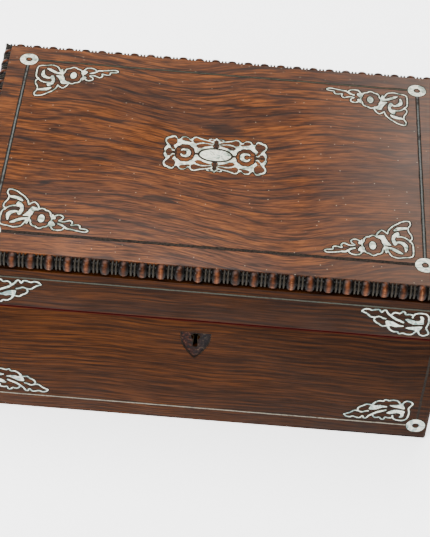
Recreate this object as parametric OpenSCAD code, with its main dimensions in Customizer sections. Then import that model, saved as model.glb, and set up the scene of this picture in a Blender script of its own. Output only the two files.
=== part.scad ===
// Inlaid rosewood music box: hinged lid with a box lock, lined trays, and a key-wound
// cylinder movement. +Z is up, the front faces -Y, and the origin is the middle of the base.

/* [Box] */
// Width of the box, left to right
body_w = 300; // [300:1:340]
// Depth of the box, front to back
body_d = 210; // [210:1:240]
// Height of the box with its lid shut
body_h = 134; // [130:1:160]
// Height of the lid
lid_h = 41; // [36:1:44]
// Thickness of the case and lid boards
board_t = 9; // [9:0.5:9.5]
// Thickness of the floor board
floor_t = 6; // [5:0.5:6]
// Thickness of the partitions
partition_t = 5; // [4:0.5:5]

/* [Moulding and inlay] */
// Height of the bead moulding round the lid's top edge
mould_h = 9.6; // [8:0.2:10]
// How far the box faces stand outside the top panel
mould_out = 5.5; // [5.2:0.1:6]
// Length of one bead with its two reels
bead_pitch = 11.1; // [9:0.1:14]
// Thickness of the pearl and pewter inlay
inlay_t = 0.8; // [0.6:0.1:1.2]
// Width of the pewter stringing
string_w = 1.6; // [1:0.2:2.4]
// Outer radius of the pearl roundels
ring_r = 6.05; // [5:0.05:7]
// Radius of the hole in each roundel
ring_hole_r = 2.1; // [1.5:0.1:3]

/* [Hinges and lock] */
// Distance of each hinge from the middle of the back
hinge_x = 95; // [60:1:110]
// Length of a hinge
hinge_l = 40; // [36:1:50]
// Radius of the hinge knuckles
knuckle_r = 2.4; // [2.2:0.1:2.4]
// Sideways place of the lock and its keyhole
lock_x = -3.3; // [-10:0.1:10]

/* [Movement] */
// Radius of the pinned cylinder
cyl_r = 20; // [19:0.5:20]
// Teeth cut in the comb
comb_teeth = 44; // [30:1:60]
// Turns of the mainspring inside its barrel
spring_turns = 9; // [5:1:9]
// Pins in one row round the cylinder
pins_round = 6; // [3:1:10]
// Radius swept by the fan's vanes
fan_r = 13; // [9:0.5:13]

/* [Hidden] */
$fn = 48;

// Fits
fit = 0.05;          // radial clearance of a running shaft
gap = 0.3;           // clearance between parts that pass each other
seam_gap = 0.3;      // gap between the lid and the case

// Box
half_w = body_w / 2;
half_d = body_d / 2;
in_w = half_w - board_t;
in_d = half_d - board_t;
seam_z = body_h - lid_h;
case_top = seam_z - seam_gap / 2;
lid_bottom = seam_z + seam_gap / 2;
panel_t = 8;
panel_z = body_h - panel_t;
top_w = half_w - mould_out;
top_d = half_d - mould_out;
mould_z = body_h - mould_h;

// Layout of the trays and of the movement's room
long_y = -12;        // front face of the long partition
divider_x = -61;     // left face of the tray divider
key_wall_x = -106;   // left face of the key partition
tray_top = 82;
lining_t = 0.8;

// Inlay layout
ring_x = half_w - 19;
ring_front_y = -half_d + 22.5;
ring_back_y = half_d - 19.5;
front_ring_x = half_w - 8;
upper_line_z = body_h - 16;
lower_line_z = 12;

// Hinges
axis_y = half_d + 2.8;
leaf_w = 8;
leaf_t = 1.5;
pin_r = 1;
knuckle_l = 12;
hinge_screw_x = [-14, 0, 14];
hinge_screw_y = half_d - 4.5;

// Lock
lock_w = 44;
lock_h = 27;
lock_front_y = -half_d + 3.2;
lock_plate_t = 1.2;
lock_plate_w = 56;
lock_wall = 0.8;
keyhole_z = case_top - 14.4;
keyhole_r = 3;
keyhole_l = 9;
staple_x = 12;
staple_y = -half_d + 6.5;
staple_l = 6.6;
bar_z = case_top - 10.9;
link_w = 40;
link_t = 1.2;

// Movement: bedplate, with the places of its screws in plan
plate_z = 12;        // underside of the bedplate
plate_t = 6;
deck_z = plate_z + plate_t;
plate_x0 = -94;
plate_x1 = 134;
plate_y0 = 2;
plate_y1 = 90;
pillar_r = 4;        // short pillars between the floor and the bedplate
screw_r = 1.5;
screw_head_r = 2.6;
floor_skin = 2;      // wood left under the screws in the floor
foot_t = 3;          // thickness of every bracket's foot
foot_screw_l = 8;
comb_screw_l = 9;
bedplate_screws = [[-82, 6.5], [-82, 84], [128, 6.5], [104, 84]];
bracket_screws = [[-90, 8.5], [-90, 44.5], [-52, 12.5], [-52, 40.5],
                  [-70, 47], [-70, 65], [98, 47], [98, 65], [101, 17.5], [117, 43]];

// Movement: cylinder and comb
cyl_y = 56;
cyl_z = 50;
cyl_x0 = -48;
cyl_x1 = 84;
cyl_wall = 1.5;
cyl_arbor_r = 2.5;
cyl_arbor_x0 = -74;
cyl_arbor_l = 176;
cyl_bracket_x = [-72, 96];
pin_h = 1;
comb_y0 = 8;
comb_z = cyl_z - 0.8;
comb_t = 1.6;
comb_x0 = cyl_x0 + 2;
comb_x1 = cyl_x1 - 2;
comb_root = 13;      // depth of the comb's uncut back
comb_slit = 0.5;
comb_screw_x = [-34, -8, 18, 44, 70];
comb_screw_y = 13.5;

// Movement: spring barrel and winding
wheel_m = 0.6;       // module of the barrel wheel
barrel_teeth = 80;
pinion_teeth = 20;
train_c = wheel_m * (barrel_teeth + pinion_teeth) / 2;
barrel_z = 44;
barrel_y = cyl_y - sqrt(train_c * train_c - (cyl_z - barrel_z) * (cyl_z - barrel_z));
barrel_x0 = -84;
barrel_x1 = -56;
barrel_r = 22.5;
barrel_wall = 1.5;
wheel_t = 4;         // thickness of the barrel's toothed rim
pinion_x = -61;
pinion_l = 6;
arbor_r = 3;
arbor_x0 = -118;     // outer end of the winding square
arbor_x1 = -49;
square_w = 4.2;
square_l = 9;
core_r = 4.6;
bracket_t = 4;
barrel_bracket_x = [-92, -54];
key_hub_x = -126;
key_hub_r = 4.2;
key_hub_l = 15.5;
key_wing_x = -132;
key_wing_r = 6.8;
key_t = 2.5;
ratchet_x = -96;
ratchet_t = 2.5;
ratchet_teeth = 16;
ratchet_r = 9;
click_y = 40;
click_z = 55;
click_pin_r = 1.5;
click_arm_z = barrel_z + 8.5;
click_arm_h = 6;
mesh_a = atan2(cyl_z - barrel_z, cyl_y - barrel_y);

// Movement: governor and start lever
gov_m = 0.7;         // module of the cylinder wheel
gov_wheel_x = 89.5;
gov_wheel_t = 2.5;
gov_x0 = 97;         // left face of the governor's frame
gov_x1 = 121;
cheek_t = 3;
cock_z = 50;
wheel_teeth = 60;
leaf_teeth = 10;
gov_c = gov_m * (wheel_teeth + leaf_teeth) / 2;
gov_y = 36;
gov_z = cyl_z - sqrt(gov_c * gov_c - (cyl_y - gov_y) * (cyl_y - gov_y));
gov_a = atan2(gov_z - cyl_z, gov_y - cyl_y);
gov_arbor_r = 1;
worm_m = 0.6;
worm_teeth = 24;
worm_r = 1.9;
worm_x = 108.5;
worm_y = gov_y - worm_m * worm_teeth / 2 - worm_r;
worm_lead = 2 * PI * worm_m;
worm_turns = 3;
fan_z = 57.5;
lever_x = 126;
lever_y = 60;
lever_z = 54;
lever_swing = 12;
lever_t = 2;
post_r = 2;
post_socket = 4;     // depth of the start lever's post in the bedplate

// ---------- shared shapes ----------

// Turns a shape drawn flat so that its own x, y and z run along Y, Z and X
module along_x(x, y = 0, z = 0) {
    translate([x, y, z]) rotate([90, 0, 90]) children();
}

// Lays a 2D shape of the front view into the front face, to the inlay's depth
module front_inlay() {
    translate([0, -half_d + inlay_t, 0]) rotate([90, 0, 0]) linear_extrude(inlay_t) children();
}

// Lays a 2D shape of the plan into the top face, to the inlay's depth
module top_inlay() {
    translate([0, 0, body_h - inlay_t]) linear_extrude(inlay_t) children();
}

module both_sides() {
    children();
    mirror([1, 0, 0]) children();
}

// A wheel's outline: straight-sided teeth round a root circle
module gear_2d(teeth, m, tip = 0.9, root = 1.2, turn = 0) {
    step = 360 / teeth;
    r_tip = m * (teeth / 2 + tip);
    r_root = m * (teeth / 2 - root);
    polygon([
        for (i = [0 : teeth - 1])
            for (k = [[-0.36, r_root], [-0.1, r_tip], [0.1, r_tip], [0.36, r_root]])
                k[1] * [cos(turn + (i + k[0]) * step), sin(turn + (i + k[0]) * step)]
    ]);
}

// Cheese-head screw, seated at z = 0 and pointing down
module cheese_screw(shank_l, head_h = 1.8) {
    slot_w = 0.7;
    difference() {
        cylinder(r = screw_head_r, h = head_h);
        translate([-screw_head_r, -slot_w / 2, head_h / 2]) cube([2 * screw_head_r, slot_w, head_h]);
    }
    translate([0, 0, -shank_l]) cylinder(r = screw_r, h = shank_l);
}

// Countersunk wood screw with its flat head at z = 0, pointing down
module wood_screw(length = 8, head_r = 1.9, shank_r = 1, spare = 0) {
    head_h = head_r - shank_r;
    translate([0, 0, -head_h]) cylinder(r1 = shank_r + spare, r2 = head_r + spare, h = head_h);
    translate([0, 0, -length]) cylinder(r = shank_r + spare, h = length - head_h);
}

// ---------- inlay outlines ----------

module roundel() {
    difference() {
        circle(r = ring_r);
        circle(r = ring_hole_r);
    }
}

module top_roundels(solid = false) {
    both_sides()
        for (y = [ring_front_y, ring_back_y])
            translate([ring_x, y]) if (solid) circle(r = ring_r); else roundel();
}

module top_strings() {
    w = string_w / 2;
    difference() {
        union() {
            for (y = [ring_front_y, ring_back_y])
                translate([-ring_x, y - w]) square([2 * ring_x, string_w]);
            both_sides()
                translate([ring_x - w, ring_front_y]) square([string_w, ring_back_y - ring_front_y]);
        }
        top_roundels(solid = true);
    }
}

// Scroll and flower spray that fills one corner inside the stringing
module corner_spray() {
    polygon([[7, 5], [7, 37], [10, 39], [21, 31], [27, 25],
             [33, 20.5], [41, 18], [47, 15], [55, 9], [60, 5]]);
}

module top_sprays() {
    both_sides() {
        translate([ring_x, ring_front_y]) mirror([1, 0, 0]) corner_spray();
        translate([ring_x, ring_back_y]) rotate(180) corner_spray();
    }
}

module plaque_2d() {
    w = 66;
    h = 32;
    cut = 5;
    x = w / 2;
    y = h / 2;
    translate([-0.5, 2])
        polygon([[-x, -y + cut], [-x + cut, -y], [x - cut, -y], [x, -y + cut],
                 [x, y - cut], [x - cut, y], [-x + cut, y], [-x, y - cut]]);
}

module lid_sprays() {
    both_sides()
        translate([half_w, body_h])
            polygon([[-55, -19.5], [-50, -17.5], [-16, -17.5], [-13, -36],
                     [-17, -37], [-30, -37], [-40, -32], [-50, -25]]);
}

module case_sprays() {
    both_sides()
        translate([half_w, 0])
            polygon([[-55.5, 17], [-16, 16], [-14, 34], [-30, 35], [-43, 30], [-50, 22]]);
}

// Shield round the keyhole
module shield_2d() {
    translate([lock_x, case_top - 10.4])
        polygon([[-9.5, 0], [9.5, 0], [9.2, -6], [7.2, -12.5], [4.3, -18], [0, -23.5],
                 [-4.3, -18], [-7.2, -12.5], [-9.2, -6]]);
}

module keyhole_2d(r) {
    translate([lock_x, keyhole_z]) {
        circle(r = r);
        translate([-r / 2, -keyhole_l]) square([r, keyhole_l]);
    }
}

// Stringing of the front view; it runs between the four roundels
module front_strings(from_z, to_z) {
    w = string_w / 2;
    intersection() {
        difference() {
            union() {
                for (z = [upper_line_z, lower_line_z])
                    translate([-front_ring_x, z - w]) square([2 * front_ring_x, string_w]);
                both_sides()
                    translate([front_ring_x - w, lower_line_z])
                        square([string_w, upper_line_z - lower_line_z]);
            }
            both_sides()
                for (z = [upper_line_z, lower_line_z])
                    translate([front_ring_x, z]) circle(r = ring_r);
        }
        translate([-half_w, from_z]) square([body_w, to_z - from_z]);
    }
}

module front_roundels(z, solid = false) {
    both_sides()
        translate([front_ring_x, z]) if (solid) circle(r = ring_r); else roundel();
}

// ---------- case ----------

module lock_screw_places() {
    for (x = [-25, 25], z = [-5, -23])
        translate([lock_x + x, -in_d + lock_plate_t, case_top + z]) rotate([-90, 0, 0]) children();
}

module hinge_screws(up, spare = 0) {
    for (sx = [-1, 1], x = hinge_screw_x)
        translate([sx * hinge_x + x, hinge_screw_y, up > 0 ? lid_bottom : case_top])
            mirror([0, 0, up > 0 ? 1 : 0]) wood_screw(spare = spare);
}

module case_front() {
    color("#5b3420")
    difference() {
        translate([-half_w, -half_d, 0]) cube([body_w, board_t, case_top]);
        front_inlay() {
            front_strings(0, case_top);
            front_roundels(lower_line_z, solid = true);
            case_sprays();
            shield_2d();
        }
        translate([0, -half_d + board_t, 0]) rotate([90, 0, 0]) linear_extrude(board_t) keyhole_2d(keyhole_r);
        translate([lock_x - lock_w / 2, lock_front_y, case_top - lock_h]) cube([lock_w, board_t, lock_h]);
        lock_screw_places() wood_screw(length = 7, spare = fit);
    }
}

module case_back() {
    color("#5b3420")
    difference() {
        translate([-half_w, in_d, 0]) cube([body_w, board_t, case_top]);
        for (sx = [-1, 1])
            translate([sx * hinge_x - hinge_l / 2, half_d - leaf_w, case_top - leaf_t])
                cube([hinge_l, leaf_w, leaf_t]);
        hinge_screws(-1, spare = fit);
    }
}

module case_left() {
    color("#5b3420")
    translate([-half_w, -in_d, 0]) cube([board_t, 2 * in_d, case_top]);
}

module case_right() {
    color("#5b3420")
    translate([in_w, -in_d, 0]) cube([board_t, 2 * in_d, case_top]);
}

module case_floor() {
    color("#9a6b3f")
    difference() {
        translate([-in_w, -in_d, 0]) cube([2 * in_w, 2 * in_d, floor_t]);
        bedplate_screw_places() screw_hole(deck_z - floor_skin);
    }
}

module long_partition() {
    color("#6e4226")
    translate([-in_w, long_y, floor_t]) cube([2 * in_w, partition_t, tray_top - floor_t]);
}

module key_partition() {
    color("#6e4226")
    difference() {
        translate([key_wall_x, long_y + partition_t, floor_t])
            cube([partition_t, in_d - long_y - partition_t, tray_top - floor_t]);
        along_x(key_wall_x, barrel_y, barrel_z) cylinder(r = arbor_r + 1, h = partition_t);
    }
}

module tray_divider() {
    color("#6e4226")
    translate([divider_x, -in_d, floor_t]) cube([partition_t, in_d + long_y, tray_top - floor_t]);
}

module lining_tray(x0, x1) {
    h = tray_top - floor_t;
    difference() {
        translate([x0, -in_d, floor_t]) cube([x1 - x0, in_d + long_y, h]);
        translate([x0 + lining_t, -in_d + lining_t, floor_t + lining_t])
            cube([x1 - x0 - 2 * lining_t, in_d + long_y - 2 * lining_t, h]);
        translate([lock_x - lock_plate_w / 2, -in_d, case_top - lock_h])
            cube([lock_plate_w, 2 * lock_plate_t, lock_h]);
    }
}

module tray_lining() {
    color("#5a1f2a") {
        lining_tray(-in_w, divider_x);
        lining_tray(divider_x + partition_t, in_w);
    }
}

module case_stringing() {
    color("#6f756c") front_inlay() front_strings(0, case_top);
}

module case_inlays() {
    color("#e4e6d8") front_inlay() {
        front_roundels(lower_line_z);
        case_sprays();
    }
}

module escutcheon() {
    color("#3a221a") front_inlay() difference() {
        shield_2d();
        keyhole_2d(keyhole_r);
    }
}

module lock_case() {
    x0 = lock_x - lock_w / 2;
    z0 = case_top - lock_h;
    depth = -in_d - lock_front_y;
    color("#b08d4a") {
        difference() {
            union() {
                translate([x0, lock_front_y, z0]) cube([lock_w, depth, lock_h]);
                translate([lock_x - lock_plate_w / 2, -in_d, z0]) cube([lock_plate_w, lock_plate_t, lock_h]);
            }
            translate([x0 + lock_wall, lock_front_y + lock_wall, z0 + lock_wall])
                cube([lock_w - 2 * lock_wall, depth - lock_wall, lock_h - 2 * lock_wall]);
            translate([0, lock_front_y + lock_wall, 0]) rotate([90, 0, 0])
                linear_extrude(lock_wall) keyhole_2d(keyhole_r - 0.8);
            for (sx = [-1, 1])
                translate([lock_x + sx * staple_x - 1.5, staple_y - 2.4, case_top - lock_wall])
                    cube([3, 4.8, lock_wall]);
            lock_screw_places() wood_screw(length = 7, spare = fit);
        }
        // ledge that the bolt slides along, and the pin that a hollow key turns on
        translate([x0 + lock_wall, lock_front_y + lock_wall, bar_z - 1.4])
            cube([lock_w - 2 * lock_wall, depth - lock_wall, 1.3]);
        translate([lock_x, -in_d, keyhole_z]) rotate([90, 0, 0]) cylinder(r = 0.9, h = depth - lock_wall);
    }
}

// Bar with two hooks that slide sideways through the staples
module lock_bolt() {
    hook_z = case_top - 4.5;
    color("#8d8f92")
    translate([lock_x, staple_y + 0.7, 0]) rotate([90, 0, 0]) linear_extrude(1.4) {
        translate([-staple_x - 8.4, bar_z]) square([2 * staple_x + 8.4, 3.9]);
        for (sx = [-1, 1]) {
            translate([sx * staple_x - 8.4, bar_z]) square([2.4, hook_z + 2.2 - bar_z]);
            translate([sx * staple_x - 6.2, hook_z]) square([4.8, 2.2]);
        }
    }
}

// ---------- hinges ----------

// The stretches along a hinge that hold the case's knuckles
case_knuckles = [[-hinge_l / 2, -hinge_l / 2 + knuckle_l], [hinge_l / 2 - knuckle_l, hinge_l / 2]];
lid_knuckles = [[-hinge_l / 2 + knuckle_l, hinge_l / 2 - knuckle_l]];

module barrel_stretch(s, r, spare = 0) {
    along_x(s[0] - spare, axis_y, seam_z) cylinder(r = r, h = s[1] - s[0] + 2 * spare);
}

module hinge_leaf(own, other, z0, bore_r, trim) {
    for (sx = [-1, 1])
        translate([sx * hinge_x, 0, 0])
            difference() {
                union() {
                    translate([-hinge_l / 2, half_d - leaf_w, z0])
                        cube([hinge_l, axis_y - half_d + leaf_w, leaf_t]);
                    for (s = own) barrel_stretch([s[0] + trim, s[1] - trim], knuckle_r);
                }
                for (s = other) barrel_stretch(s, knuckle_r + gap, spare = trim);
                along_x(-hinge_l / 2, axis_y, seam_z) cylinder(r = bore_r, h = hinge_l);
            }
}

module hinge_case_leaves() {
    color("#b08d4a")
    difference() {
        hinge_leaf(case_knuckles, lid_knuckles, case_top - leaf_t, pin_r, 0);
        hinge_screws(-1, spare = fit);
    }
}

module hinge_lid_leaves() {
    color("#b08d4a")
    difference() {
        hinge_leaf(lid_knuckles, case_knuckles, lid_bottom, pin_r + fit, gap);
        hinge_screws(1, spare = fit);
    }
}

module hinge_pins() {
    color("#8d8f92")
    for (sx = [-1, 1])
        translate([sx * hinge_x, 0, 0]) barrel_stretch([-hinge_l / 2, hinge_l / 2], pin_r);
}

module case_screws() {
    color("#c8a860") {
        hinge_screws(-1);
        lock_screw_places() wood_screw(length = 7);
    }
}

// ---------- lid ----------

module link_screws(spare = 0) {
    for (sx = [-1, 1])
        translate([lock_x + sx * (link_w / 2 - 3), staple_y, lid_bottom])
            mirror([0, 0, 1]) wood_screw(spare = spare);
}

// The outer edge of the rails, lowered to seat the moulding
module mould_seat() {
    difference() {
        translate([-half_w, -half_d, mould_z]) cube([body_w, body_d, mould_h]);
        translate([-top_w, -top_d, mould_z]) cube([2 * top_w, 2 * top_d, mould_h]);
    }
}

module lid_front() {
    color("#5b3420")
    difference() {
        translate([-half_w, -half_d, lid_bottom]) cube([body_w, board_t, panel_z - lid_bottom]);
        mould_seat();
        front_inlay() {
            front_strings(lid_bottom, body_h);
            front_roundels(upper_line_z, solid = true);
            lid_sprays();
        }
        translate([lock_x - link_w / 2, staple_y - 3, lid_bottom]) cube([link_w, 6, link_t]);
        link_screws(spare = fit);
    }
}

module lid_back() {
    color("#5b3420")
    difference() {
        translate([-half_w, in_d, lid_bottom]) cube([body_w, board_t, panel_z - lid_bottom]);
        mould_seat();
        for (sx = [-1, 1])
            translate([sx * hinge_x - hinge_l / 2, half_d - leaf_w, lid_bottom])
                cube([hinge_l, leaf_w, leaf_t]);
        hinge_screws(1, spare = fit);
    }
}

module lid_side() {
    difference() {
        translate([-half_w, -in_d, lid_bottom]) cube([board_t, 2 * in_d, panel_z - lid_bottom]);
        mould_seat();
    }
}

module lid_left() {
    color("#5b3420") lid_side();
}

module lid_right() {
    color("#5b3420") mirror([1, 0, 0]) lid_side();
}

module lid_top() {
    color("#744423")
    difference() {
        translate([-top_w, -top_d, panel_z]) cube([2 * top_w, 2 * top_d, panel_t]);
        top_inlay() {
            top_roundels(solid = true);
            top_strings();
            top_sprays();
            plaque_2d();
        }
    }
}

module lid_lining() {
    color("#5a1f2a")
    translate([-in_w, -in_d, panel_z - 1]) cube([2 * in_w, 2 * in_d, 1]);
}

// One run of bead and two reels, turned about the strip's own length
module bead_strip(length, pitch, phase) {
    r = mould_h / 2;
    count = ceil(length / pitch) + 1;
    profile = [[-0.3, 0.66], [-0.27, 0.84], [-0.18, 0.95], [0, 1], [0.18, 0.95], [0.27, 0.84],
               [0.3, 0.66], [0.34, 0.66], [0.345, 0.88], [0.44, 0.88], [0.445, 0.66],
               [0.5, 0.66], [0.505, 0.88], [0.6, 0.88], [0.605, 0.66]];
    start = -ceil(count / 2) * pitch + phase;
    rotate_extrude()
        polygon(concat(
            [[0, start - 0.3 * pitch]],
            [for (i = [0 : count], p = profile) [r * p[1], start + (i + p[0]) * pitch]],
            [[0, start + (count + 0.605) * pitch]]));
}

// A strip for the side that faces -Y, mitred at both ends. A bead sits on each corner
// unless the beads are shifted along.
module moulding(side_w, side_d, shift = 0) {
    beads = round(2 * side_w / bead_pitch);
    pitch = 2 * side_w / beads;
    phase = (beads % 2 == 1 ? pitch / 2 : 0) + shift;
    intersection() {
        translate([0, -side_d + mould_h / 2, body_h - mould_h / 2]) rotate([0, 90, 0])
            bead_strip(2 * side_w, pitch, phase);
        translate([0, 0, mould_z]) linear_extrude(mould_h)
            polygon([[-side_w, -side_d], [side_w, -side_d],
                     [side_w - mould_out, -side_d + mould_out], [-side_w + mould_out, -side_d + mould_out]]);
    }
}

module moulding_front() {
    color("#2e1a12") moulding(half_w, half_d, shift = 1.1);
}

module moulding_back() {
    color("#2e1a12") rotate(180) moulding(half_w, half_d);
}

module moulding_left() {
    color("#2e1a12") rotate(-90) moulding(half_d, half_w);
}

module moulding_right() {
    color("#2e1a12") rotate(90) moulding(half_d, half_w);
}

module lid_rings() {
    color("#e4e6d8") {
        top_inlay() top_roundels();
        front_inlay() front_roundels(upper_line_z);
    }
}

module lid_stringing() {
    color("#6f756c") {
        top_inlay() top_strings();
        front_inlay() front_strings(lid_bottom, body_h);
    }
}

module lid_corner_inlays() {
    color("#e4e6d8") top_inlay() top_sprays();
}

module lid_plaque() {
    color("#e4e6d8") top_inlay() plaque_2d();
}

module lid_front_inlays() {
    color("#e4e6d8") front_inlay() lid_sprays();
}

// Plate under the lid's front edge with two eyes that drop into the lock
module link_plate() {
    color("#b08d4a")
    difference() {
        union() {
            translate([lock_x - link_w / 2, staple_y - 3, lid_bottom]) cube([link_w, 6, link_t]);
            for (sx = [-1, 1])
                translate([lock_x + sx * staple_x - 0.8, staple_y - 2, lid_bottom - staple_l])
                    cube([1.6, 4, staple_l]);
        }
        for (sx = [-1, 1])
            translate([lock_x + sx * staple_x - 0.8, staple_y - 1.1, case_top - 4.9]) cube([1.6, 2.2, 3]);
        link_screws(spare = fit);
    }
}

module lid_screws() {
    color("#c8a860") {
        hinge_screws(1);
        link_screws();
    }
}

// ---------- movement: fixed parts ----------

module bedplate_screw_places() {
    for (p = bedplate_screws) translate([p[0], p[1], deck_z]) children();
}

// Places of the screws that hold the four brackets and the governor to the bedplate
module bracket_screw_places() {
    for (p = bracket_screws) translate([p[0], p[1], deck_z + foot_t]) children();
}

// Clearance hole for a movement screw, pointing down from z = 0
module screw_hole(depth) {
    translate([0, 0, -depth]) cylinder(r = screw_r + fit, h = depth);
}

module comb_screw_places() {
    for (x = comb_screw_x) translate([x, comb_screw_y, comb_z + comb_t]) children();
}

module bedplate() {
    color("#b99a55")
    difference() {
        union() {
            translate([plate_x0, plate_y0, plate_z])
                cube([plate_x1 - plate_x0, plate_y1 - plate_y0, plate_t]);
            bedplate_screw_places()
                translate([0, 0, floor_t - deck_z]) cylinder(r = pillar_r, h = deck_z - floor_t);
        }
        bedplate_screw_places() screw_hole(deck_z);
        bracket_screw_places() screw_hole(foot_screw_l + fit);
        translate([lever_x, lever_y, deck_z - post_socket]) cylinder(r = post_r, h = post_socket);
    }
}

module movement_screws() {
    color("#5d6a78") {
        bedplate_screw_places() cheese_screw(deck_z - floor_skin);
        bracket_screw_places() cheese_screw(foot_screw_l);
        comb_screw_places() cheese_screw(comb_screw_l);
    }
}

// Upright with a round head and a foot, bored for a shaft along X
module bracket(x, y, z, bore_r, head_r, foot) {
    foot_d = 6;
    difference() {
        union() {
            along_x(x, y, z) cylinder(r = head_r, h = bracket_t);
            translate([x, y - head_r, deck_z]) cube([bracket_t, 2 * head_r, z - deck_z]);
            translate([x + (bracket_t - foot_d) / 2, foot[0], deck_z])
                cube([foot_d, foot[1] - foot[0], foot_t]);
        }
        along_x(x, y, z) cylinder(r = bore_r, h = bracket_t);
    }
}

module barrel_brackets() {
    x = barrel_bracket_x[0];
    arm_y = barrel_y + 4;
    color("#b99a55")
    difference() {
        union() {
            bracket(x, barrel_y, barrel_z, arbor_r + fit, 7, [5, 48]);
            // arm on the left bracket that carries the click and its spring
            translate([x, arm_y, click_arm_z]) cube([bracket_t, 19, click_arm_h]);
            translate([x, arm_y, barrel_z]) cube([bracket_t, 3, 10]);
            along_x(ratchet_x - 0.5, click_y, click_z) cylinder(r = click_pin_r, h = 5);
            bracket(barrel_bracket_x[1], barrel_y, barrel_z, arbor_r + fit, 6, [9, 44]);
        }
        bracket_screw_places() screw_hole(foot_screw_l);
    }
}

module cylinder_brackets() {
    color("#b99a55")
    difference() {
        union() {
            for (x = cyl_bracket_x) bracket(x, cyl_y, cyl_z, cyl_arbor_r + fit, 5, [44, 68]);
        }
        bracket_screw_places() screw_hole(foot_screw_l);
    }
}

module comb_base() {
    color("#b99a55")
    difference() {
        translate([comb_x0, comb_y0 - 1, deck_z]) cube([comb_x1 - comb_x0, comb_root, comb_z - deck_z]);
        comb_screw_places() screw_hole(comb_screw_l + 2);
    }
}

// Steel comb: a row of tuned teeth cut from one plate, tips just clear of the pins
module comb() {
    tip_y = cyl_y - cyl_r - pin_h - gap;
    root_y = comb_y0 + comb_root;
    pitch = (comb_x1 - comb_x0) / comb_teeth;
    color("#8f959b")
    translate([0, 0, comb_z])
        difference() {
            linear_extrude(comb_t) difference() {
                translate([comb_x0, comb_y0]) square([comb_x1 - comb_x0, tip_y - comb_y0]);
                for (i = [1 : comb_teeth - 1])
                    translate([comb_x0 + i * pitch - comb_slit / 2, root_y])
                        square([comb_slit, tip_y - root_y]);
            }
            for (x = comb_screw_x) translate([x, comb_screw_y, 0]) cylinder(r = screw_r + fit, h = comb_t);
        }
}

// Cheeks and cock that carry the governor's wheel and its endless screw
module governor_frame() {
    w = gov_x1 - gov_x0;
    bore = gov_arbor_r + fit;
    color("#b99a55")
    difference() {
        union() {
            translate([gov_x0, 14, deck_z]) cube([w, 29.6, foot_t]);
            translate([gov_x1 - 14, 40, deck_z]) cube([14, 6, foot_t]);
            for (x = [gov_x0, gov_x1 - cheek_t])
                translate([x, gov_y - 5, deck_z]) cube([cheek_t, 9, gov_z + 4 - deck_z]);
            translate([gov_x1 - cheek_t, worm_y - 5, deck_z]) cube([cheek_t, 10, cock_z + cheek_t - deck_z]);
            translate([worm_x - 4, worm_y - 5, cock_z]) cube([gov_x1 - worm_x + 4, 10, cheek_t]);
        }
        along_x(gov_x0, gov_y, gov_z) cylinder(r = bore, h = w);
        translate([worm_x, worm_y, deck_z + 1]) cylinder(r = bore, h = foot_t - 1);
        translate([worm_x, worm_y, cock_z]) cylinder(r = bore, h = cheek_t);
        bracket_screw_places() screw_hole(foot_screw_l);
    }
}

// Leaf spring screwed over the click
module click_spring() {
    leaf_t = 0.6;
    place = [ratchet_x + 0.5, barrel_y + 4, click_arm_z + click_arm_h];
    color("#5d6a78") {
        translate(place) cube([7.5, 5, leaf_t]);
        translate(place) cube([2.5, 19, leaf_t]);
    }
}

module lever_post() {
    color("#5d6a78") {
        translate([lever_x, lever_y, deck_z - post_socket])
            cylinder(r = post_r, h = lever_z + lever_t + 1.6 - deck_z + post_socket);
        translate([lever_x, lever_y, deck_z]) cylinder(r = 3.5, h = lever_z - 0.1 - deck_z);
        translate([lever_x, lever_y, lever_z + lever_t + 0.1]) cylinder(r = 3.2, h = 1.5);
    }
}

// ---------- movement: spring barrel and winding ----------

module spring_barrel() {
    h = barrel_x1 - barrel_x0;
    end_t = 2;
    color("#c2a25c")
    along_x(barrel_x0, barrel_y, barrel_z)
        difference() {
            union() {
                cylinder(r = barrel_r, h = h);
                translate([0, 0, h - wheel_t])
                    linear_extrude(wheel_t) gear_2d(barrel_teeth, wheel_m, turn = mesh_a);
            }
            cylinder(r = barrel_r - barrel_wall, h = h - end_t);
            cylinder(r = arbor_r + fit, h = h);
        }
}

module barrel_cover() {
    color("#c2a25c")
    along_x(barrel_x0, barrel_y, barrel_z)
        difference() {
            cylinder(r = barrel_r - barrel_wall, h = barrel_wall);
            cylinder(r = arbor_r + fit, h = barrel_wall);
        }
}

// Flat spiral strip, wound from the arbor's core out to the barrel wall
module mainspring() {
    strip = 0.6;
    r0 = 5.2;
    r1 = barrel_r - barrel_wall - strip;
    turn_steps = 16;
    steps = turn_steps * spring_turns;
    function spiral(i, extra) =
        (r0 + (r1 - r0) * i / steps + extra) * [cos(i * 360 / turn_steps), sin(i * 360 / turn_steps)];
    color("#5f6f86")
    along_x(barrel_x0 + 3, barrel_y, barrel_z)
        linear_extrude(barrel_x1 - barrel_x0 - 7)
            polygon(concat([for (i = [0 : steps]) spiral(i, 0)],
                           [for (i = [steps : -1 : 0]) spiral(i, strip)]));
}

module winding_arbor() {
    round_x0 = arbor_x0 + square_l;
    color("#8d8f92")
    along_x(0, barrel_y, barrel_z) {
        translate([0, 0, arbor_x0]) linear_extrude(square_l) square(square_w, center = true);
        translate([0, 0, round_x0]) cylinder(r = arbor_r, h = arbor_x1 - round_x0);
        translate([0, 0, barrel_x0 + 2.5]) cylinder(r = core_r, h = barrel_x1 - barrel_x0 - 5.5);
    }
}

module ratchet_wheel() {
    step = 360 / ratchet_teeth;
    color("#8d8f92")
    along_x(ratchet_x, barrel_y, barrel_z)
        linear_extrude(ratchet_t) difference() {
            polygon([for (i = [0 : ratchet_teeth - 1])
                     for (k = [[0, ratchet_r], [0.12, ratchet_r - 1.5]])
                         k[1] * [cos((i + k[0]) * step), sin((i + k[0]) * step)]]);
            circle(r = arbor_r);
        }
}

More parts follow.
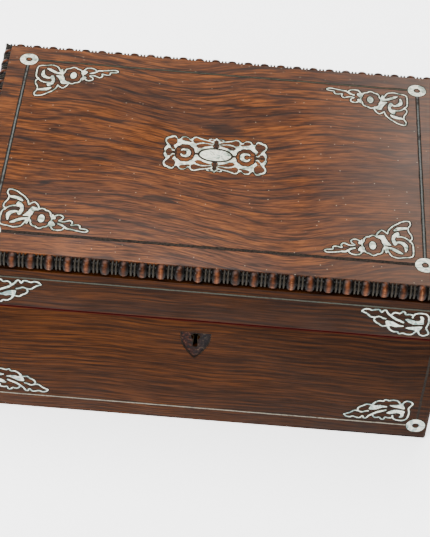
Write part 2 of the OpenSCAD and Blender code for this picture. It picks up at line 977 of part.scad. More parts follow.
// Butterfly key with a square socket
module winding_key() {
    socket_w = square_w + 2 * fit;
    color("#b08d4a")
    translate([0, barrel_y, barrel_z])
        difference() {
            union() {
                along_x(key_hub_x) cylinder(r = key_hub_r, h = key_hub_l);
                translate([key_wing_x - 7, -3, -key_t / 2]) cube([14, 6, key_t]);
                for (sy = [-1, 1])
                    translate([key_wing_x, sy * 8.5, -key_t / 2]) cylinder(r = key_wing_r, h = key_t);
            }
            for (sy = [-1, 1])
                translate([key_wing_x, sy * 9, -key_t / 2]) cylinder(r = 3.2, h = key_t);
            translate([arbor_x0 - fit, -socket_w / 2, -socket_w / 2]) cube([square_l, socket_w, socket_w]);
        }
}

// Pawl over the ratchet; its nose rests at the tooth tips
module click() {
    nose = [barrel_y + (ratchet_r + gap) * cos(75), barrel_z + (ratchet_r + gap) * sin(75)];
    color("#8d8f92")
    along_x(ratchet_x)
        linear_extrude(ratchet_t) difference() {
            union() {
                translate([click_y, click_z]) circle(r = 2.8);
                polygon([[click_y, click_z - 2.4], [click_y, click_z + 2.4],
                         [nose[0] + 1.5, nose[1] + 2.6], nose, [nose[0] + 3, nose[1] + 0.4]]);
            }
            translate([click_y, click_z]) circle(r = click_pin_r + fit);
        }
}

// ---------- movement: cylinder ----------

module cylinder_body() {
    color("#c9a95f")
    along_x(cyl_x0, cyl_y, cyl_z)
        difference() {
            cylinder(r = cyl_r, h = cyl_x1 - cyl_x0);
            cylinder(r = cyl_r - cyl_wall, h = cyl_x1 - cyl_x0);
        }
}

// Short tune pins, a row for every fourth tooth, stepped round by a fixed turn
module cylinder_pins() {
    pitch = (comb_x1 - comb_x0) / comb_teeth;
    color("#d8dadc")
    for (i = [0 : 4 : comb_teeth - 1], k = [0 : pins_round - 1])
        translate([comb_x0 + (i + 0.5) * pitch, cyl_y, cyl_z])
            rotate([i * 41 + k * 360 / pins_round + 20, 0, 0])
                translate([0, 0, cyl_r - 1]) cylinder(r = 0.4, h = pin_h + 1, $fn = 6);
}

module cylinder_arbor() {
    end_t = 2;
    color("#8d8f92")
    along_x(0, cyl_y, cyl_z) {
        translate([0, 0, cyl_arbor_x0]) cylinder(r = cyl_arbor_r, h = cyl_arbor_l);
        for (x = [cyl_x0, cyl_x1 - end_t])
            translate([0, 0, x]) cylinder(r = cyl_r - cyl_wall, h = end_t);
        translate([0, 0, pinion_x])
            linear_extrude(pinion_l) gear_2d(pinion_teeth, wheel_m, turn = mesh_a + 180 + 180 / pinion_teeth);
    }
}

module cylinder_wheel() {
    color("#c9a95f")
    along_x(gov_wheel_x, cyl_y, cyl_z)
        difference() {
            linear_extrude(gov_wheel_t) gear_2d(wheel_teeth, gov_m, turn = gov_a);
            cylinder(r = cyl_arbor_r, h = gov_wheel_t);
            for (a = [0 : 60 : 300])
                rotate(a) translate([10.5, 0, 0]) cylinder(r = 4, h = gov_wheel_t);
        }
}

// ---------- movement: governor ----------

module governor_wheel() {
    color("#c9a95f")
    along_x(0, gov_y, gov_z) {
        translate([0, 0, 87]) cylinder(r = gov_arbor_r, h = 34.5);
        translate([0, 0, 88])
            linear_extrude(6) gear_2d(leaf_teeth, gov_m, turn = gov_a + 180 + 180 / leaf_teeth);
        translate([0, 0, worm_x - 0.5])
            linear_extrude(1) gear_2d(worm_teeth, worm_m, tip = 0.7, root = 1, turn = 180);
        translate([0, 0, worm_x - 2]) cylinder(r = 3, h = 4);
    }
}

// Two-start endless screw on an upright arbor
module endless_screw() {
    h = worm_turns * worm_lead;
    z0 = gov_z - h / 2;
    core = 1.3;
    color("#8d8f92")
    translate([worm_x, worm_y, 0]) {
        translate([0, 0, deck_z + 1.1]) cylinder(r = gov_arbor_r, h = fan_z + 9 - deck_z);
        translate([0, 0, z0])
            linear_extrude(h, twist = -360 * worm_turns, slices = 10 * worm_turns)
                polygon([for (a = [0 : 22.5 : 337.5])
                         (core + 0.95 * pow((1 + cos(2 * a)) / 2, 2)) * [cos(a), sin(a)]]);
    }
}

// Hub and two vanes that the air brakes
module fan() {
    vane_h = 9;
    vane_t = 0.5;
    color("#c2a25c")
    translate([worm_x, worm_y, 0])
        difference() {
            union() {
                translate([0, 0, fan_z - 3.5]) cylinder(r = 3.2, h = 5);
                translate([-fan_r, -vane_t / 2, fan_z]) cube([2 * fan_r, vane_t, vane_h]);
            }
            translate([0, 0, fan_z - 3.5]) cylinder(r = gov_arbor_r, h = 14);
        }
}

// Flat lever: one end is pushed by hand, the other swings in beside the fan's hub
module start_lever() {
    arm_w = 4;
    tip_l = 32;
    handle_l = 22;
    a = atan2(worm_y - lever_y, worm_x - lever_x) + lever_swing;
    color("#c2a25c")
    translate([lever_x, lever_y, lever_z]) rotate(a)
        difference() {
            union() {
                linear_extrude(lever_t) {
                    circle(r = 4.5);
                    translate([0, -arm_w / 2]) square([tip_l - 4, arm_w]);
                    translate([tip_l - 4, -0.8]) square([4, 1.6]);
                    translate([-handle_l, -arm_w / 2]) square([handle_l, arm_w]);
                }
                translate([-handle_l, 0, 0]) cylinder(r = 3, h = 9);
            }
            cylinder(r = post_r + fit, h = lever_t);
        }
}

// ---------- assembly ----------

case_front();
case_back();
case_left();
case_right();
case_floor();
long_partition();
key_partition();
tray_divider();
tray_lining();
case_stringing();
case_inlays();
escutcheon();
lock_case();
lock_bolt();
hinge_case_leaves();
hinge_pins();
case_screws();
lid_front();
lid_back();
lid_left();
lid_right();
lid_top();
lid_lining();
moulding_front();
moulding_back();
moulding_left();
moulding_right();
lid_rings();
lid_stringing();
lid_corner_inlays();
lid_plaque();
lid_front_inlays();
link_plate();
hinge_lid_leaves();
lid_screws();
bedplate();
movement_screws();
barrel_brackets();
cylinder_brackets();
comb();
comb_base();
governor_frame();
click_spring();
lever_post();
spring_barrel();
barrel_cover();
mainspring();
winding_arbor();
ratchet_wheel();
winding_key();
click();
cylinder_body();  // cylinder
cylinder_pins();
cylinder_arbor();
cylinder_wheel();
governor_wheel();
endless_screw();
fan();
start_lever();
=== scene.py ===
"""Looks of the inlaid rosewood music box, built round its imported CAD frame.

Shapes are worked out in millimetres and turned into metres when a mesh is made. +Z is up and the
front faces -Y. Everything that the CAD frame draws well stays, and gets a material; the boards,
mouldings, inlays, linings and tune pins are built here.
"""
import math
import random

import bmesh
import bpy
from mathutils import Euler, Matrix, Vector
from mathutils.geometry import delaunay_2d_cdt


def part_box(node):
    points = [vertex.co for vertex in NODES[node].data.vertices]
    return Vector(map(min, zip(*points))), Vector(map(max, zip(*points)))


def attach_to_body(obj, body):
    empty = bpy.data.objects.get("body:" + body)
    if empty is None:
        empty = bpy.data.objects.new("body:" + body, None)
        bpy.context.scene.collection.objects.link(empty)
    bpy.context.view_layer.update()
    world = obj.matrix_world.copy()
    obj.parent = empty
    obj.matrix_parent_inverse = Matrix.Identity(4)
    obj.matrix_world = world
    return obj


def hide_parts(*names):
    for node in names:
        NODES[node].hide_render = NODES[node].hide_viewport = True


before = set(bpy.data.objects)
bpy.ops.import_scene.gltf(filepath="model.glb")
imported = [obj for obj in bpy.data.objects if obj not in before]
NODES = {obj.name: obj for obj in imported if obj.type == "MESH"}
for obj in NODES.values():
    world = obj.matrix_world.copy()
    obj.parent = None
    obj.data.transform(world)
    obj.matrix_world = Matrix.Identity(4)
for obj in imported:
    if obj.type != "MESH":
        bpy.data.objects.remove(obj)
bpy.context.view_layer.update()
MM = 0.001


def box_mm(node):
    low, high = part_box(node)
    return low / MM, high / MM


# ---------- sizes, from the frame ----------

CASE_LOW, CASE_HIGH = box_mm("case_front")
PANEL_LOW, PANEL_HIGH = box_mm("lid_top")
HALF_W = CASE_HIGH.x
HALF_D = -CASE_LOW.y
BOARD = CASE_HIGH.y - CASE_LOW.y
IN_D = HALF_D - BOARD
CASE_TOP = CASE_HIGH.z
LID_BOTTOM = box_mm("lid_front")[0].z
PANEL_Z = PANEL_LOW.z
BODY_H = PANEL_HIGH.z
TOP_W = PANEL_HIGH.x
TOP_D = PANEL_HIGH.y
MOULD_Z = box_mm("moulding_front")[0].z
MOULD_R = (BODY_H - MOULD_Z) / 2
MOULD_OUT = HALF_D - TOP_D

# Inlay layout, as in the CAD source
RING_X = HALF_W - 19
RING_FRONT_Y = -HALF_D + 22.5
RING_BACK_Y = HALF_D - 19.5
FRONT_RING_X = HALF_W - 8
UPPER_LINE_Z = BODY_H - 16
LOWER_LINE_Z = 12
RING_R = 6.05
RING_HOLE_R = 2.1
INLAY_T = 0.8
PROUD = 0.03          # how far pearl and metal stand above the glue line
EDGE = 0.8            # width of the dark glue line round the pearl
NEAR_LEFT_SHIFT = 3   # the near left spray, and the lid's left one, sit this much further out
SKIN = 2 * PROUD      # how far the veneer lies below the pearl
CORNER_R = 1.6        # rounding of the box's upright corners
EASE = 0.5            # rounding of the boards' other edges
PLAY = 0.05           # gap round metal that is let into wood


# ---------- shading ----------

class Shader:
    """A material round one Principled shader, with short calls that add nodes to it."""

    def __init__(self, name):
        self.material = bpy.data.materials.new(name)
        self.material.use_nodes = True
        self.tree = self.material.node_tree
        self.surface = self.tree.nodes["Principled BSDF"]
        self.place = self.add("ShaderNodeTexCoord").outputs["Object"]

    def add(self, kind, **settings):
        made = self.tree.nodes.new(kind)
        for key, value in settings.items():
            setattr(made, key, value)
        return made

    def put(self, socket, value):
        if isinstance(value, bpy.types.NodeSocket):
            self.tree.links.new(value, socket)
        else:
            socket.default_value = value

    def set(self, **values):
        """Sets the shader's own sockets; an underscore in a key stands for a space."""
        for key, value in values.items():
            self.put(self.surface.inputs[key.replace("_", " ")], value)

    def split(self, vector):
        made = self.add("ShaderNodeSeparateXYZ")
        self.put(made.inputs[0], vector)
        return made.outputs

    def join(self, x, y, z):
        made = self.add("ShaderNodeCombineXYZ")
        for socket, value in zip(made.inputs, (x, y, z)):
            self.put(socket, value)
        return made.outputs[0]

    def scaled(self, vector, scale, offset=(0, 0, 0)):
        made = self.add("ShaderNodeVectorMath", operation="MULTIPLY_ADD")
        self.put(made.inputs[0], vector)
        self.put(made.inputs[1], scale)
        self.put(made.inputs[2], offset)
        return made.outputs[0]

    def math(self, operation, a, b=0.0, c=0.0):
        made = self.add("ShaderNodeMath", operation=operation)
        for socket, value in zip(made.inputs, (a, b, c)):
            self.put(socket, value)
        return made.outputs[0]

    def noise(self, vector, detail=3.0, roughness=0.5, distortion=0.0):
        """Cloudy noise; how fine it is comes from the scale given to the vector."""
        made = self.add("ShaderNodeTexNoise")
        self.put(made.inputs["Vector"], vector)
        made.inputs["Scale"].default_value = 1.0
        made.inputs["Detail"].default_value = detail
        made.inputs["Roughness"].default_value = roughness
        made.inputs["Distortion"].default_value = distortion
        return made.outputs["Fac"]

    def cloud(self, scale, **settings):
        """Noise on the object's own coordinates; scale is one number or three, per metre."""
        if not isinstance(scale, tuple):
            scale = (scale, scale, scale)
        return self.noise(self.scaled(self.place, scale), **settings)

    def cells(self, vector, scale):
        """Distance to the nearest of many scattered points."""
        made = self.add("ShaderNodeTexVoronoi")
        self.put(made.inputs["Vector"], vector)
        made.inputs["Scale"].default_value = scale
        return made.outputs["Distance"]

    def fade(self, value, low, high, to_low=0.0, to_high=1.0):
        """A clamped straight change from to_low at low to to_high at high."""
        made = self.add("ShaderNodeMapRange")
        for socket, given in zip(made.inputs, (value, low, high, to_low, to_high)):
            self.put(socket, given)
        return made.outputs[0]

    def ramp(self, value, *stops):
        made = self.add("ShaderNodeValToRGB")
        self.put(made.inputs[0], value)
        marks = made.color_ramp.elements
        while len(marks) < len(stops):
            marks.new(0.5)
        for mark, (position, colour) in zip(marks, stops):
            mark.position = position
            mark.color = (*colour, 1)
        return made.outputs[0]

    def mix(self, share, a, b, blend="MIX"):
        made = self.add("ShaderNodeMix", data_type="RGBA", blend_type=blend)
        self.put(made.inputs["Factor"], share)
        self.put(made.inputs[6], a if isinstance(a, bpy.types.NodeSocket) else (*a, 1))
        self.put(made.inputs[7], b if isinstance(b, bpy.types.NodeSocket) else (*b, 1))
        return made.outputs[2]

    def bump(self, height, strength, distance):
        made = self.add("ShaderNodeBump")
        made.inputs["Strength"].default_value = strength
        made.inputs["Distance"].default_value = distance
        self.put(made.inputs["Height"], height)
        self.put(self.surface.inputs["Normal"], made.outputs[0])


def rosewood(name, tones, figure, swirl, along=0, seed=0.0, gap=11.0, line=0.0, run_scale=60, gloss=0.025,
             dip=None, knot=None, painted_sheen=0.0, darker=0.0, seam=0.0, dust=0.0):
    """French polished rosewood, its grain along axis 0 or 1 of the box.

    tones are the light, middle and dark colours, and figure is how strongly they differ. Dark lines
    come about every gap millimetres, wander by swirl gaps and are wider by line, a share of the gap.
    A low run_scale makes the fibres long. dip is (place along, width, depth) of a swirl that the
    grain bends round. knot is (place along, place across, half length, half width) of a dark patch.
    painted_sheen pales the right-hand end with a painted reflection and darker dims it, seam is the height of
    a stained joint, and dust is how clearly pale specks show.
    """
    light, middle, dark = tones
    s = Shader(name)
    axes = s.split(s.place)
    run = axes[along]
    first, second = [axes[i] for i in range(3) if i != along]
    if seam:
        # An upright board: its lines lie one above the other
        first, second = second, first
    if dip:
        centre, width, depth = (v * MM for v in dip)
        lean = -0.45
        slant = s.math("MULTIPLY_ADD", first, lean, centre)
        offset = s.math("DIVIDE", s.math("SUBTRACT", run, slant), width)
        hump = s.math("POWER", 2.718, s.math("MULTIPLY", s.math("MULTIPLY", offset, offset), -1.0))
        first = s.math("MULTIPLY_ADD", hump, depth, first)
    wander = s.noise(s.scaled(s.place, (9, 9, 9), (seed, 0, 0)), detail=2)
    first = s.math("MULTIPLY_ADD", wander, 0.014, first)
    grain = s.join(run, first, s.math("ADD", second, seed))
    zone = s.noise(s.scaled(grain, (7, 42, 30)), detail=3)
    fibre = s.noise(s.scaled(grain, (run_scale, 640, 300)), detail=3, roughness=0.6)
    pore = s.noise(s.scaled(grain, (1.5 * run_scale, 1300, 500)), detail=2)
    tone = s.ramp(zone, (0.34, blend(middle, dark, 0.35 * figure)), (0.45, middle),
                  (0.56, blend(middle, light, figure)), (0.68, middle))
    contrast = 0.45 + 0.5 * figure
    fibre_light = s.ramp(fibre, (0.38, (0.28, 0.27, 0.27)), (0.5, (1, 1, 1)), (0.61, (1.75, 1.7, 1.4)))
    pore_light = s.ramp(pore, (0.36, (0.30, 0.29, 0.30)), (0.5, (1.1, 1.1, 1.1)))
    tone = s.mix(contrast, tone, fibre_light, "MULTIPLY")
    tone = s.mix(0.75, tone, pore_light, "MULTIPLY")
    # Dark annual lines, thin and long, that come and go
    bend = s.noise(s.scaled(grain, (6, 26, 20), (5, 0, 0)), detail=3, roughness=0.55)
    rings = s.math("FRACT", s.math("MULTIPLY_ADD", first, 1000 / gap, s.math("MULTIPLY", bend, swirl)))
    near = s.math("ABSOLUTE", s.math("SUBTRACT", rings, 0.5))
    present = s.fade(s.noise(s.scaled(grain, (10, 90, 40), (0, 4, 0)), detail=2), 0.38, 0.48)
    thin = s.math("MULTIPLY", s.fade(near, 0.10 + line, 0.045 + line), present)
    soft = s.math("MULTIPLY", s.math("MULTIPLY", s.fade(near, 0.3, 0.05), present), 0.25)
    lines = s.math("MAXIMUM", s.math("MULTIPLY", thin, contrast), soft)
    # Short black streaks
    streak = s.fade(s.noise(s.scaled(grain, (13, 330, 60), (0, 0, 3)), detail=4, roughness=0.55), 0.38, 0.31)
    shade = s.math("MAXIMUM", lines, s.math("MULTIPLY", streak, 0.8 * figure))
    if knot:
        along_from, across_from, long, wide = (v * MM for v in knot)
        right = s.math("DIVIDE", s.math("SUBTRACT", axes[0], along_from), long)
        up = s.math("DIVIDE", s.math("SUBTRACT", axes[1], across_from), wide)
        reach = s.math("ADD", s.math("MULTIPLY", right, right), s.math("MULTIPLY", up, up))
        rough = s.noise(s.scaled(grain, (90, 260, 90)), detail=4)
        patch = s.fade(s.math("MULTIPLY_ADD", rough, -2.4, reach), 0.1, -0.9)
        shade = s.math("MAXIMUM", shade, s.math("MULTIPLY", patch, 0.8))
    tone = s.mix(shade, tone, dark)
    # Painted reflection: a pale grey sheen laid over the right-hand end
    if painted_sheen:
        tone = s.mix(s.fade(axes[0], 0.055, 0.125, 0, painted_sheen), tone, (0.062, 0.042, 0.032))
    if darker:
        dim = s.mix(1.0, tone, (0.4, 0.4, 0.42), "MULTIPLY")
        tone = s.mix(s.fade(axes[0], -0.06, 0.13, 0, darker), tone, dim)
    if seam:
        # Red stain in the joint, on the outside only
        off = s.math("ABSOLUTE", s.math("SUBTRACT", axes[2], seam * MM))
        outer = (HALF_W if along else HALF_D) * MM
        skin = s.fade(s.math("ABSOLUTE", second), outer - 0.0022, outer - 0.0012)
        stained = s.math("MULTIPLY", s.fade(off, 0.0012, 0.0006), skin)
        tone = s.mix(stained, tone, (0.026, 0.0018, 0.0010))
    if dust:
        speck = s.fade(s.cells(s.place, 185), 0.085, 0.045)
        tone = s.mix(s.math("MULTIPLY", speck, dust), tone, (0.30, 0.25, 0.18))
    s.set(Base_Color=tone)
    s.set(Roughness=s.fade(s.cloud(40, detail=4), 0.35, 0.7, 0.34, 0.5))
    s.set(Specular_IOR_Level=gloss)
    s.bump(s.math("MULTIPLY_ADD", shade, -0.8, fibre), 0.25, 0.0002)
    return s.material


def blend(a, b, share):
    return tuple(x + (y - x) * share for x, y in zip(a, b))


def moulding_wood():
    """Dark stained moulding. Each bead's crown is brown, partly rubbed wood and partly painted light, with a
    pale painted highlight on it, and each reel's top carries a painted grey highlight.

    The mesh's crown value is above 0 where a bead's crown is brown and below 0 where a reel's painted
    highlight is.
    """
    s = Shader("moulding_wood")
    crown = s.add("ShaderNodeAttribute", attribute_name="crown").outputs["Fac"]
    blotch = s.cloud((260, 260, 420), detail=4)
    cracks = s.cloud((500, 500, 1900), detail=3)
    brown = s.ramp(blotch, (0.3, (0.035, 0.011, 0.005)), (0.55, (0.12, 0.036, 0.013)),
                   (0.75, (0.19, 0.065, 0.028)))
    share = s.math("MULTIPLY", crown, s.fade(cracks, 0.3, 0.48, 0.35, 1))
    # Painted grey highlight on the reels' tops
    base = s.mix(s.fade(crown, 0, -0.9), (0.0032, 0.0028, 0.0025), (0.022, 0.018, 0.013))
    tone = s.mix(s.math("MAXIMUM", share, 0.0), base, brown)
    # Painted pale highlight in the middle of each bead's crown
    painted_highlight = s.fade(share, 0.7, 1.0, 0, 0.45)
    s.set(Base_Color=s.mix(painted_highlight, tone, (0.30, 0.15, 0.075)))
    s.set(Roughness=s.fade(blotch, 0.35, 0.7, 0.2, 0.36))
    s.set(Specular_IOR_Level=0.06)
    s.bump(s.math("ADD", blotch, cracks), 0.35, 0.0003)
    return s.material


def pearl():
    """Mother of pearl: cloudy cream with a little green and rose, painted sheen in pale silky bands, and fine
    engraved scratches.
    """
    s = Shader("pearl")
    cloud = s.cloud(130, detail=4, distortion=1.2)
    silk_and_sheen = s.cloud((240, 900, 900), detail=3, distortion=0.8)
    tone = s.ramp(cloud, (0.38, (0.10, 0.13, 0.095)), (0.455, (0.30, 0.34, 0.26)), (0.52, (0.60, 0.59, 0.46)),
                  (0.57, (0.44, 0.41, 0.33)), (0.63, (0.17, 0.21, 0.17)))
    # Painted sheen: pale bands along the nacre's silky streaks
    tone = s.mix(s.fade(silk_and_sheen, 0.42, 0.66, 0, 0.4), tone, (0.66, 0.66, 0.56))
    grime = s.fade(s.cloud(420, detail=5), 0.42, 0.3)
    s.set(Base_Color=s.mix(s.math("MULTIPLY", grime, 0.45), tone, (0.2, 0.19, 0.15)))
    s.set(Roughness=s.fade(silk_and_sheen, 0.3, 0.7, 0.18, 0.42))
    s.set(Coat_Weight=0.15, Coat_Roughness=0.12, Thin_Film_Thickness=420)
    s.bump(silk_and_sheen, 0.12, 0.0002)
    return s.material


def glue():
    """Black shellac and dirt in the saw cuts round the inlay."""
    s = Shader("inlay_glue")
    grit = s.cloud(700, detail=4)
    s.set(Base_Color=s.ramp(grit, (0.3, (0.004, 0.0035, 0.003)), (0.7, (0.022, 0.016, 0.012))))
    s.set(Roughness=s.fade(grit, 0.3, 0.7, 0.4, 0.75))
    s.set(Specular_IOR_Level=0.03)
    s.bump(grit, 0.3, 0.0002)
    return s.material


def metal(name, base, stain, rough, brushed=(30, 900, 900), share=0.5, scratch=0.12):
    """Old metal: brush lines one way, and cloudy tarnish that dulls it."""
    s = Shader(name)
    lines = s.noise(s.scaled(s.place, brushed), detail=3, roughness=0.6)
    cloud = s.cloud(55, detail=5, roughness=0.6)
    spots = s.fade(s.cloud(420, detail=2), 0.68, 0.74)
    dull = s.math("MULTIPLY", s.fade(cloud, 0.42, 0.68), share)
    dull = s.math("MAXIMUM", dull, s.math("MULTIPLY", spots, share))
    s.set(Base_Color=s.mix(dull, base, stain))
    s.set(Metallic=s.fade(dull, 0, 1, 1, 0.75))
    s.set(Roughness=s.math("MULTIPLY_ADD", dull, 0.25, s.fade(lines, 0.3, 0.7, rough, rough + 0.12)))
    s.bump(lines, scratch, 0.0001)
    return s.material


def pewter(name, bright, missing):
    """Stringing of dull grey metal: scratched where it is bright, and black where it has gone."""
    s = Shader(name)
    wear = s.cloud(55, detail=4, roughness=0.6)
    scratch = s.cloud(700, detail=3)
    tone = s.ramp(scratch, (0.3, tuple(0.55 * v for v in bright)), (0.6, bright))
    lost = s.fade(wear, missing, missing - 0.08)
    s.set(Base_Color=s.mix(lost, tone, (0.012, 0.010, 0.009)))
    s.set(Metallic=s.fade(lost, 0, 1, 0.15, 0))
    s.set(Specular_IOR_Level=0.1)
    s.set(Roughness=s.fade(scratch, 0.3, 0.7, 0.38, 0.6))
    s.bump(scratch, 0.2, 0.0001)
    return s.material


def escutcheon_wood():
    """Floor of the empty shield: stained wood, redder on the left and grey with old glue."""
    s = Shader("escutcheon_wood")
    blotch = s.cloud(460, detail=5, roughness=0.65)
    side = s.fade(s.split(s.place)[0], -0.008, 0.002)
    red = s.ramp(blotch, (0.42, (0.0025, 0.0012, 0.0010)), (0.56, (0.022, 0.006, 0.004)),
                 (0.68, (0.075, 0.036, 0.022)))
    grey = s.ramp(blotch, (0.42, (0.0028, 0.0018, 0.0020)), (0.58, (0.011, 0.0075, 0.0075)),
                  (0.68, (0.060, 0.048, 0.030)))
    s.set(Base_Color=s.mix(side, red, grey))
    s.set(Roughness=s.fade(blotch, 0.3, 0.7, 0.45, 0.8))
    s.set(Specular_IOR_Level=0.05)
    s.bump(blotch, 0.6, 0.0006)
    return s.material


def plain_wood():
    """Oiled hardwood of the inside, with straight open grain."""
    s = Shader("inner_wood")
    grain = s.scaled(s.place, (14, 300, 120))
    streak = s.noise(grain, detail=5, roughness=0.6, distortion=0.3)
    fibre = s.cloud((120, 1800, 900), detail=3)
    tone = s.ramp(streak, (0.32, (0.09, 0.04, 0.018)), (0.5, (0.21, 0.105, 0.048)),
                  (0.7, (0.29, 0.155, 0.075)))
    pale = s.ramp(fibre, (0.35, (0.5, 0.47, 0.43)), (0.65, (1, 1, 1)))
    s.set(Base_Color=s.mix(0.5, tone, pale, "MULTIPLY"))
    s.set(Roughness=s.fade(fibre, 0.3, 0.7, 0.45, 0.65))
    s.bump(fibre, 0.3, 0.0002)
    return s.material


def velvet():
    """Crimson velvet with a crushed nap."""
    s = Shader("velvet")
    crush = s.cloud(55, detail=4, distortion=0.3)
    nap = s.cloud(2600, detail=2)
    tone = s.ramp(crush, (0.3, (0.034, 0.002, 0.004)), (0.55, (0.058, 0.0035, 0.007)),
                  (0.75, (0.078, 0.006, 0.010)))
    s.set(Base_Color=s.mix(0.4, tone, s.ramp(nap, (0.35, (0.3, 0.3, 0.3)), (0.65, (1, 1, 1))), "MULTIPLY"))
    s.set(Roughness=s.fade(nap, 0.3, 0.7, 0.75, 0.95))
    s.set(Sheen_Weight=0.25, Sheen_Roughness=0.35, Sheen_Tint=(0.75, 0.25, 0.28, 1), Specular_IOR_Level=0.1)
    s.bump(nap, 0.5, 0.0004)
    return s.material


def floor_paper():
    """Plain pale paper that glows a little, so that it stays white."""
    s = Shader("floor_paper")
    tooth = s.cloud(60, detail=4)
    s.set(Base_Color=s.ramp(tooth, (0.3, (0.86, 0.86, 0.86)), (0.7, (0.9, 0.9, 0.9))))
    s.set(Roughness=s.fade(tooth, 0.3, 0.7, 0.8, 0.95))
    s.set(Specular_IOR_Level=0.1, Emission_Color=(1, 1, 1, 1), Emission_Strength=2.0)
    return s.material


TOP_TONES = (0.088, 0.0262, 0.0052), (0.047, 0.0148, 0.0044), (0.0060, 0.0036, 0.0028)
FRONT_TONES = (0.060, 0.0180, 0.0036), (0.033, 0.0102, 0.0026), (0.0060, 0.0030, 0.0020)
LID_TONES = tuple(tuple(0.74 * v for v in tone) for tone in FRONT_TONES)
SEAM_Z = (CASE_TOP + LID_BOTTOM) / 2
LONG_FIBRES = 32
WOOD_TOP = rosewood("rosewood_top", TOP_TONES, figure=0.65, swirl=4.5, gloss=0.12, dip=(4, 52, 15),
                    knot=(3, 28, 15, 7), painted_sheen=0.5, dust=0.5)
WOOD_X = rosewood("rosewood_front", FRONT_TONES, figure=0.3, swirl=2.2, seed=0.31, gap=3.6, line=0.06,
                  run_scale=LONG_FIBRES, darker=0.75, seam=SEAM_Z)
WOOD_Y = rosewood("rosewood_side", FRONT_TONES, figure=0.4, swirl=3, along=1, seed=0.77, gap=4.2,
                  line=0.05, run_scale=LONG_FIBRES, seam=SEAM_Z)
WOOD_LID = rosewood("rosewood_lid", LID_TONES, figure=0.3, swirl=2.2, seed=2.6, gap=3.9, line=0.06,
                    run_scale=LONG_FIBRES, darker=0.6, seam=SEAM_Z)
MOULD = moulding_wood()
PEARL = pearl()
GLUE = glue()
LINE_GREY = pewter("pewter_grey", (0.032, 0.034, 0.024), 0.42)
LINE_DARK = pewter("pewter_dark", (0.062, 0.067, 0.062), 0.42)
LINE_TAN = pewter("pewter_tan", (0.17, 0.15, 0.115), 0.42)
ESCUTCHEON = escutcheon_wood()
INNER = plain_wood()
VELVET = velvet()
BRASS = metal("brass", (0.52, 0.37, 0.15), (0.17, 0.10, 0.045), 0.26)
BRASS_BRIGHT = metal("brass_bright", (0.68, 0.50, 0.22), (0.30, 0.19, 0.08), 0.16, share=0.3)
# Near-black brass of the lock case: partly tarnish, partly painted shade, so that the keyhole reads black
BRASS_DARKENED = metal("brass_tarnish_and_shade", (0.035, 0.025, 0.012), (0.012, 0.009, 0.006), 0.5)
STEEL = metal("steel", (0.50, 0.51, 0.52), (0.16, 0.13, 0.11), 0.22, share=0.35)
BLUED = metal("blued_steel", (0.05, 0.085, 0.19), (0.06, 0.045, 0.05), 0.24, share=0.4)


# ---------- mesh helpers ----------

def make_object(name, mesh, material, sharp=35):
    """Links a mesh as an object, shaded smooth except over edges sharper than this."""
    made = bmesh.new()
    made.from_mesh(mesh)
    bmesh.ops.recalc_face_normals(made, faces=made.faces)
    made.to_mesh(mesh)
    made.free()
    mesh.materials.append(material)
    mesh.shade_smooth()
    mesh.set_sharp_from_angle(angle=math.radians(sharp))
    obj = bpy.data.objects.new(name, mesh)
    bpy.context.scene.collection.objects.link(obj)
    return obj


def from_parts(name, verts, faces, material, sharp=35):
    mesh = bpy.data.meshes.new(name)
    mesh.from_pydata([Vector(v) * MM for v in verts], [], faces)
    return make_object(name, mesh, material, sharp)


def attach(obj, body, slot, *nodes):
    """Hands a piece to the frame: its body and the CAD nodes it stands for, which are hidden. slot is not
    used.
    """
    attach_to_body(obj, body)
    if nodes:
        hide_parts(*nodes)


def loft(name, rings, material):
    """A closed solid through rings of points, all of the same length."""
    count = len(rings[0])
    verts = [p for ring in rings for p in ring]
    faces = []
    for k in range(len(rings) - 1):
        for i in range(count):
            j = (i + 1) % count
            faces.append((k * count + i, k * count + j, (k + 1) * count + j, (k + 1) * count + i))
    faces.append(tuple(range(count)))
    faces.append(tuple((len(rings) - 1) * count + i for i in range(count)))
    return from_parts(name, verts, faces, material)


def block(name, low, high, material, round_by):
    """A box, its edges rounded unless round_by is 0."""
    made = bmesh.new()
    bmesh.ops.create_cube(made, size=1)
    size = Vector(high) - Vector(low)
    middle = (Vector(high) + Vector(low)) / 2
    bmesh.ops.scale(made, vec=size * MM, verts=made.verts)
    bmesh.ops.translate(made, vec=middle * MM, verts=made.verts)
    if round_by:
        bmesh.ops.bevel(made, geom=made.edges, offset=round_by * MM, segments=3, profile=0.5,
                        affect="EDGES")
    mesh = bpy.data.meshes.new(name)
    made.to_mesh(mesh)
    made.free()
    return make_object(name, mesh, material)


def cutter_box(low, high):
    return block("cutter", low, high, GLUE, 0)


def cutter_along_y(outline, low, high):
    """A cutter with an outline in x and z, run along Y from low to high."""
    rings = [[(x, y, z) for x, z in outline] for y in (low, high)]
    return loft("cutter", rings, GLUE)


def cut(obj, *cutters):
    """Takes the cutters out of obj and removes them."""
    for cutter in cutters:
        step = obj.modifiers.new("cut", "BOOLEAN")
        step.operation = "DIFFERENCE"
        step.solver = "EXACT"
        step.object = cutter
    bpy.context.view_layer.update()
    graph = bpy.context.evaluated_depsgraph_get()
    mesh = bpy.data.meshes.new_from_object(obj.evaluated_get(graph))
    obj.modifiers.clear()
    obj.data = mesh
    while len(mesh.materials) > 1:
        mesh.materials.pop()
    for cutter in cutters:
        bpy.data.objects.remove(cutter)
    mesh.shade_smooth()
    mesh.set_sharp_from_angle(angle=math.radians(35))
    return obj


def turned(point, side):
    """A point drawn for the front, turned to side 0 front, 1 right, 2 back or 3 left."""
    x, y, z = point
    for _ in range(side):
        x, y = -y, x
    return x, y, z


# ---------- boards ----------

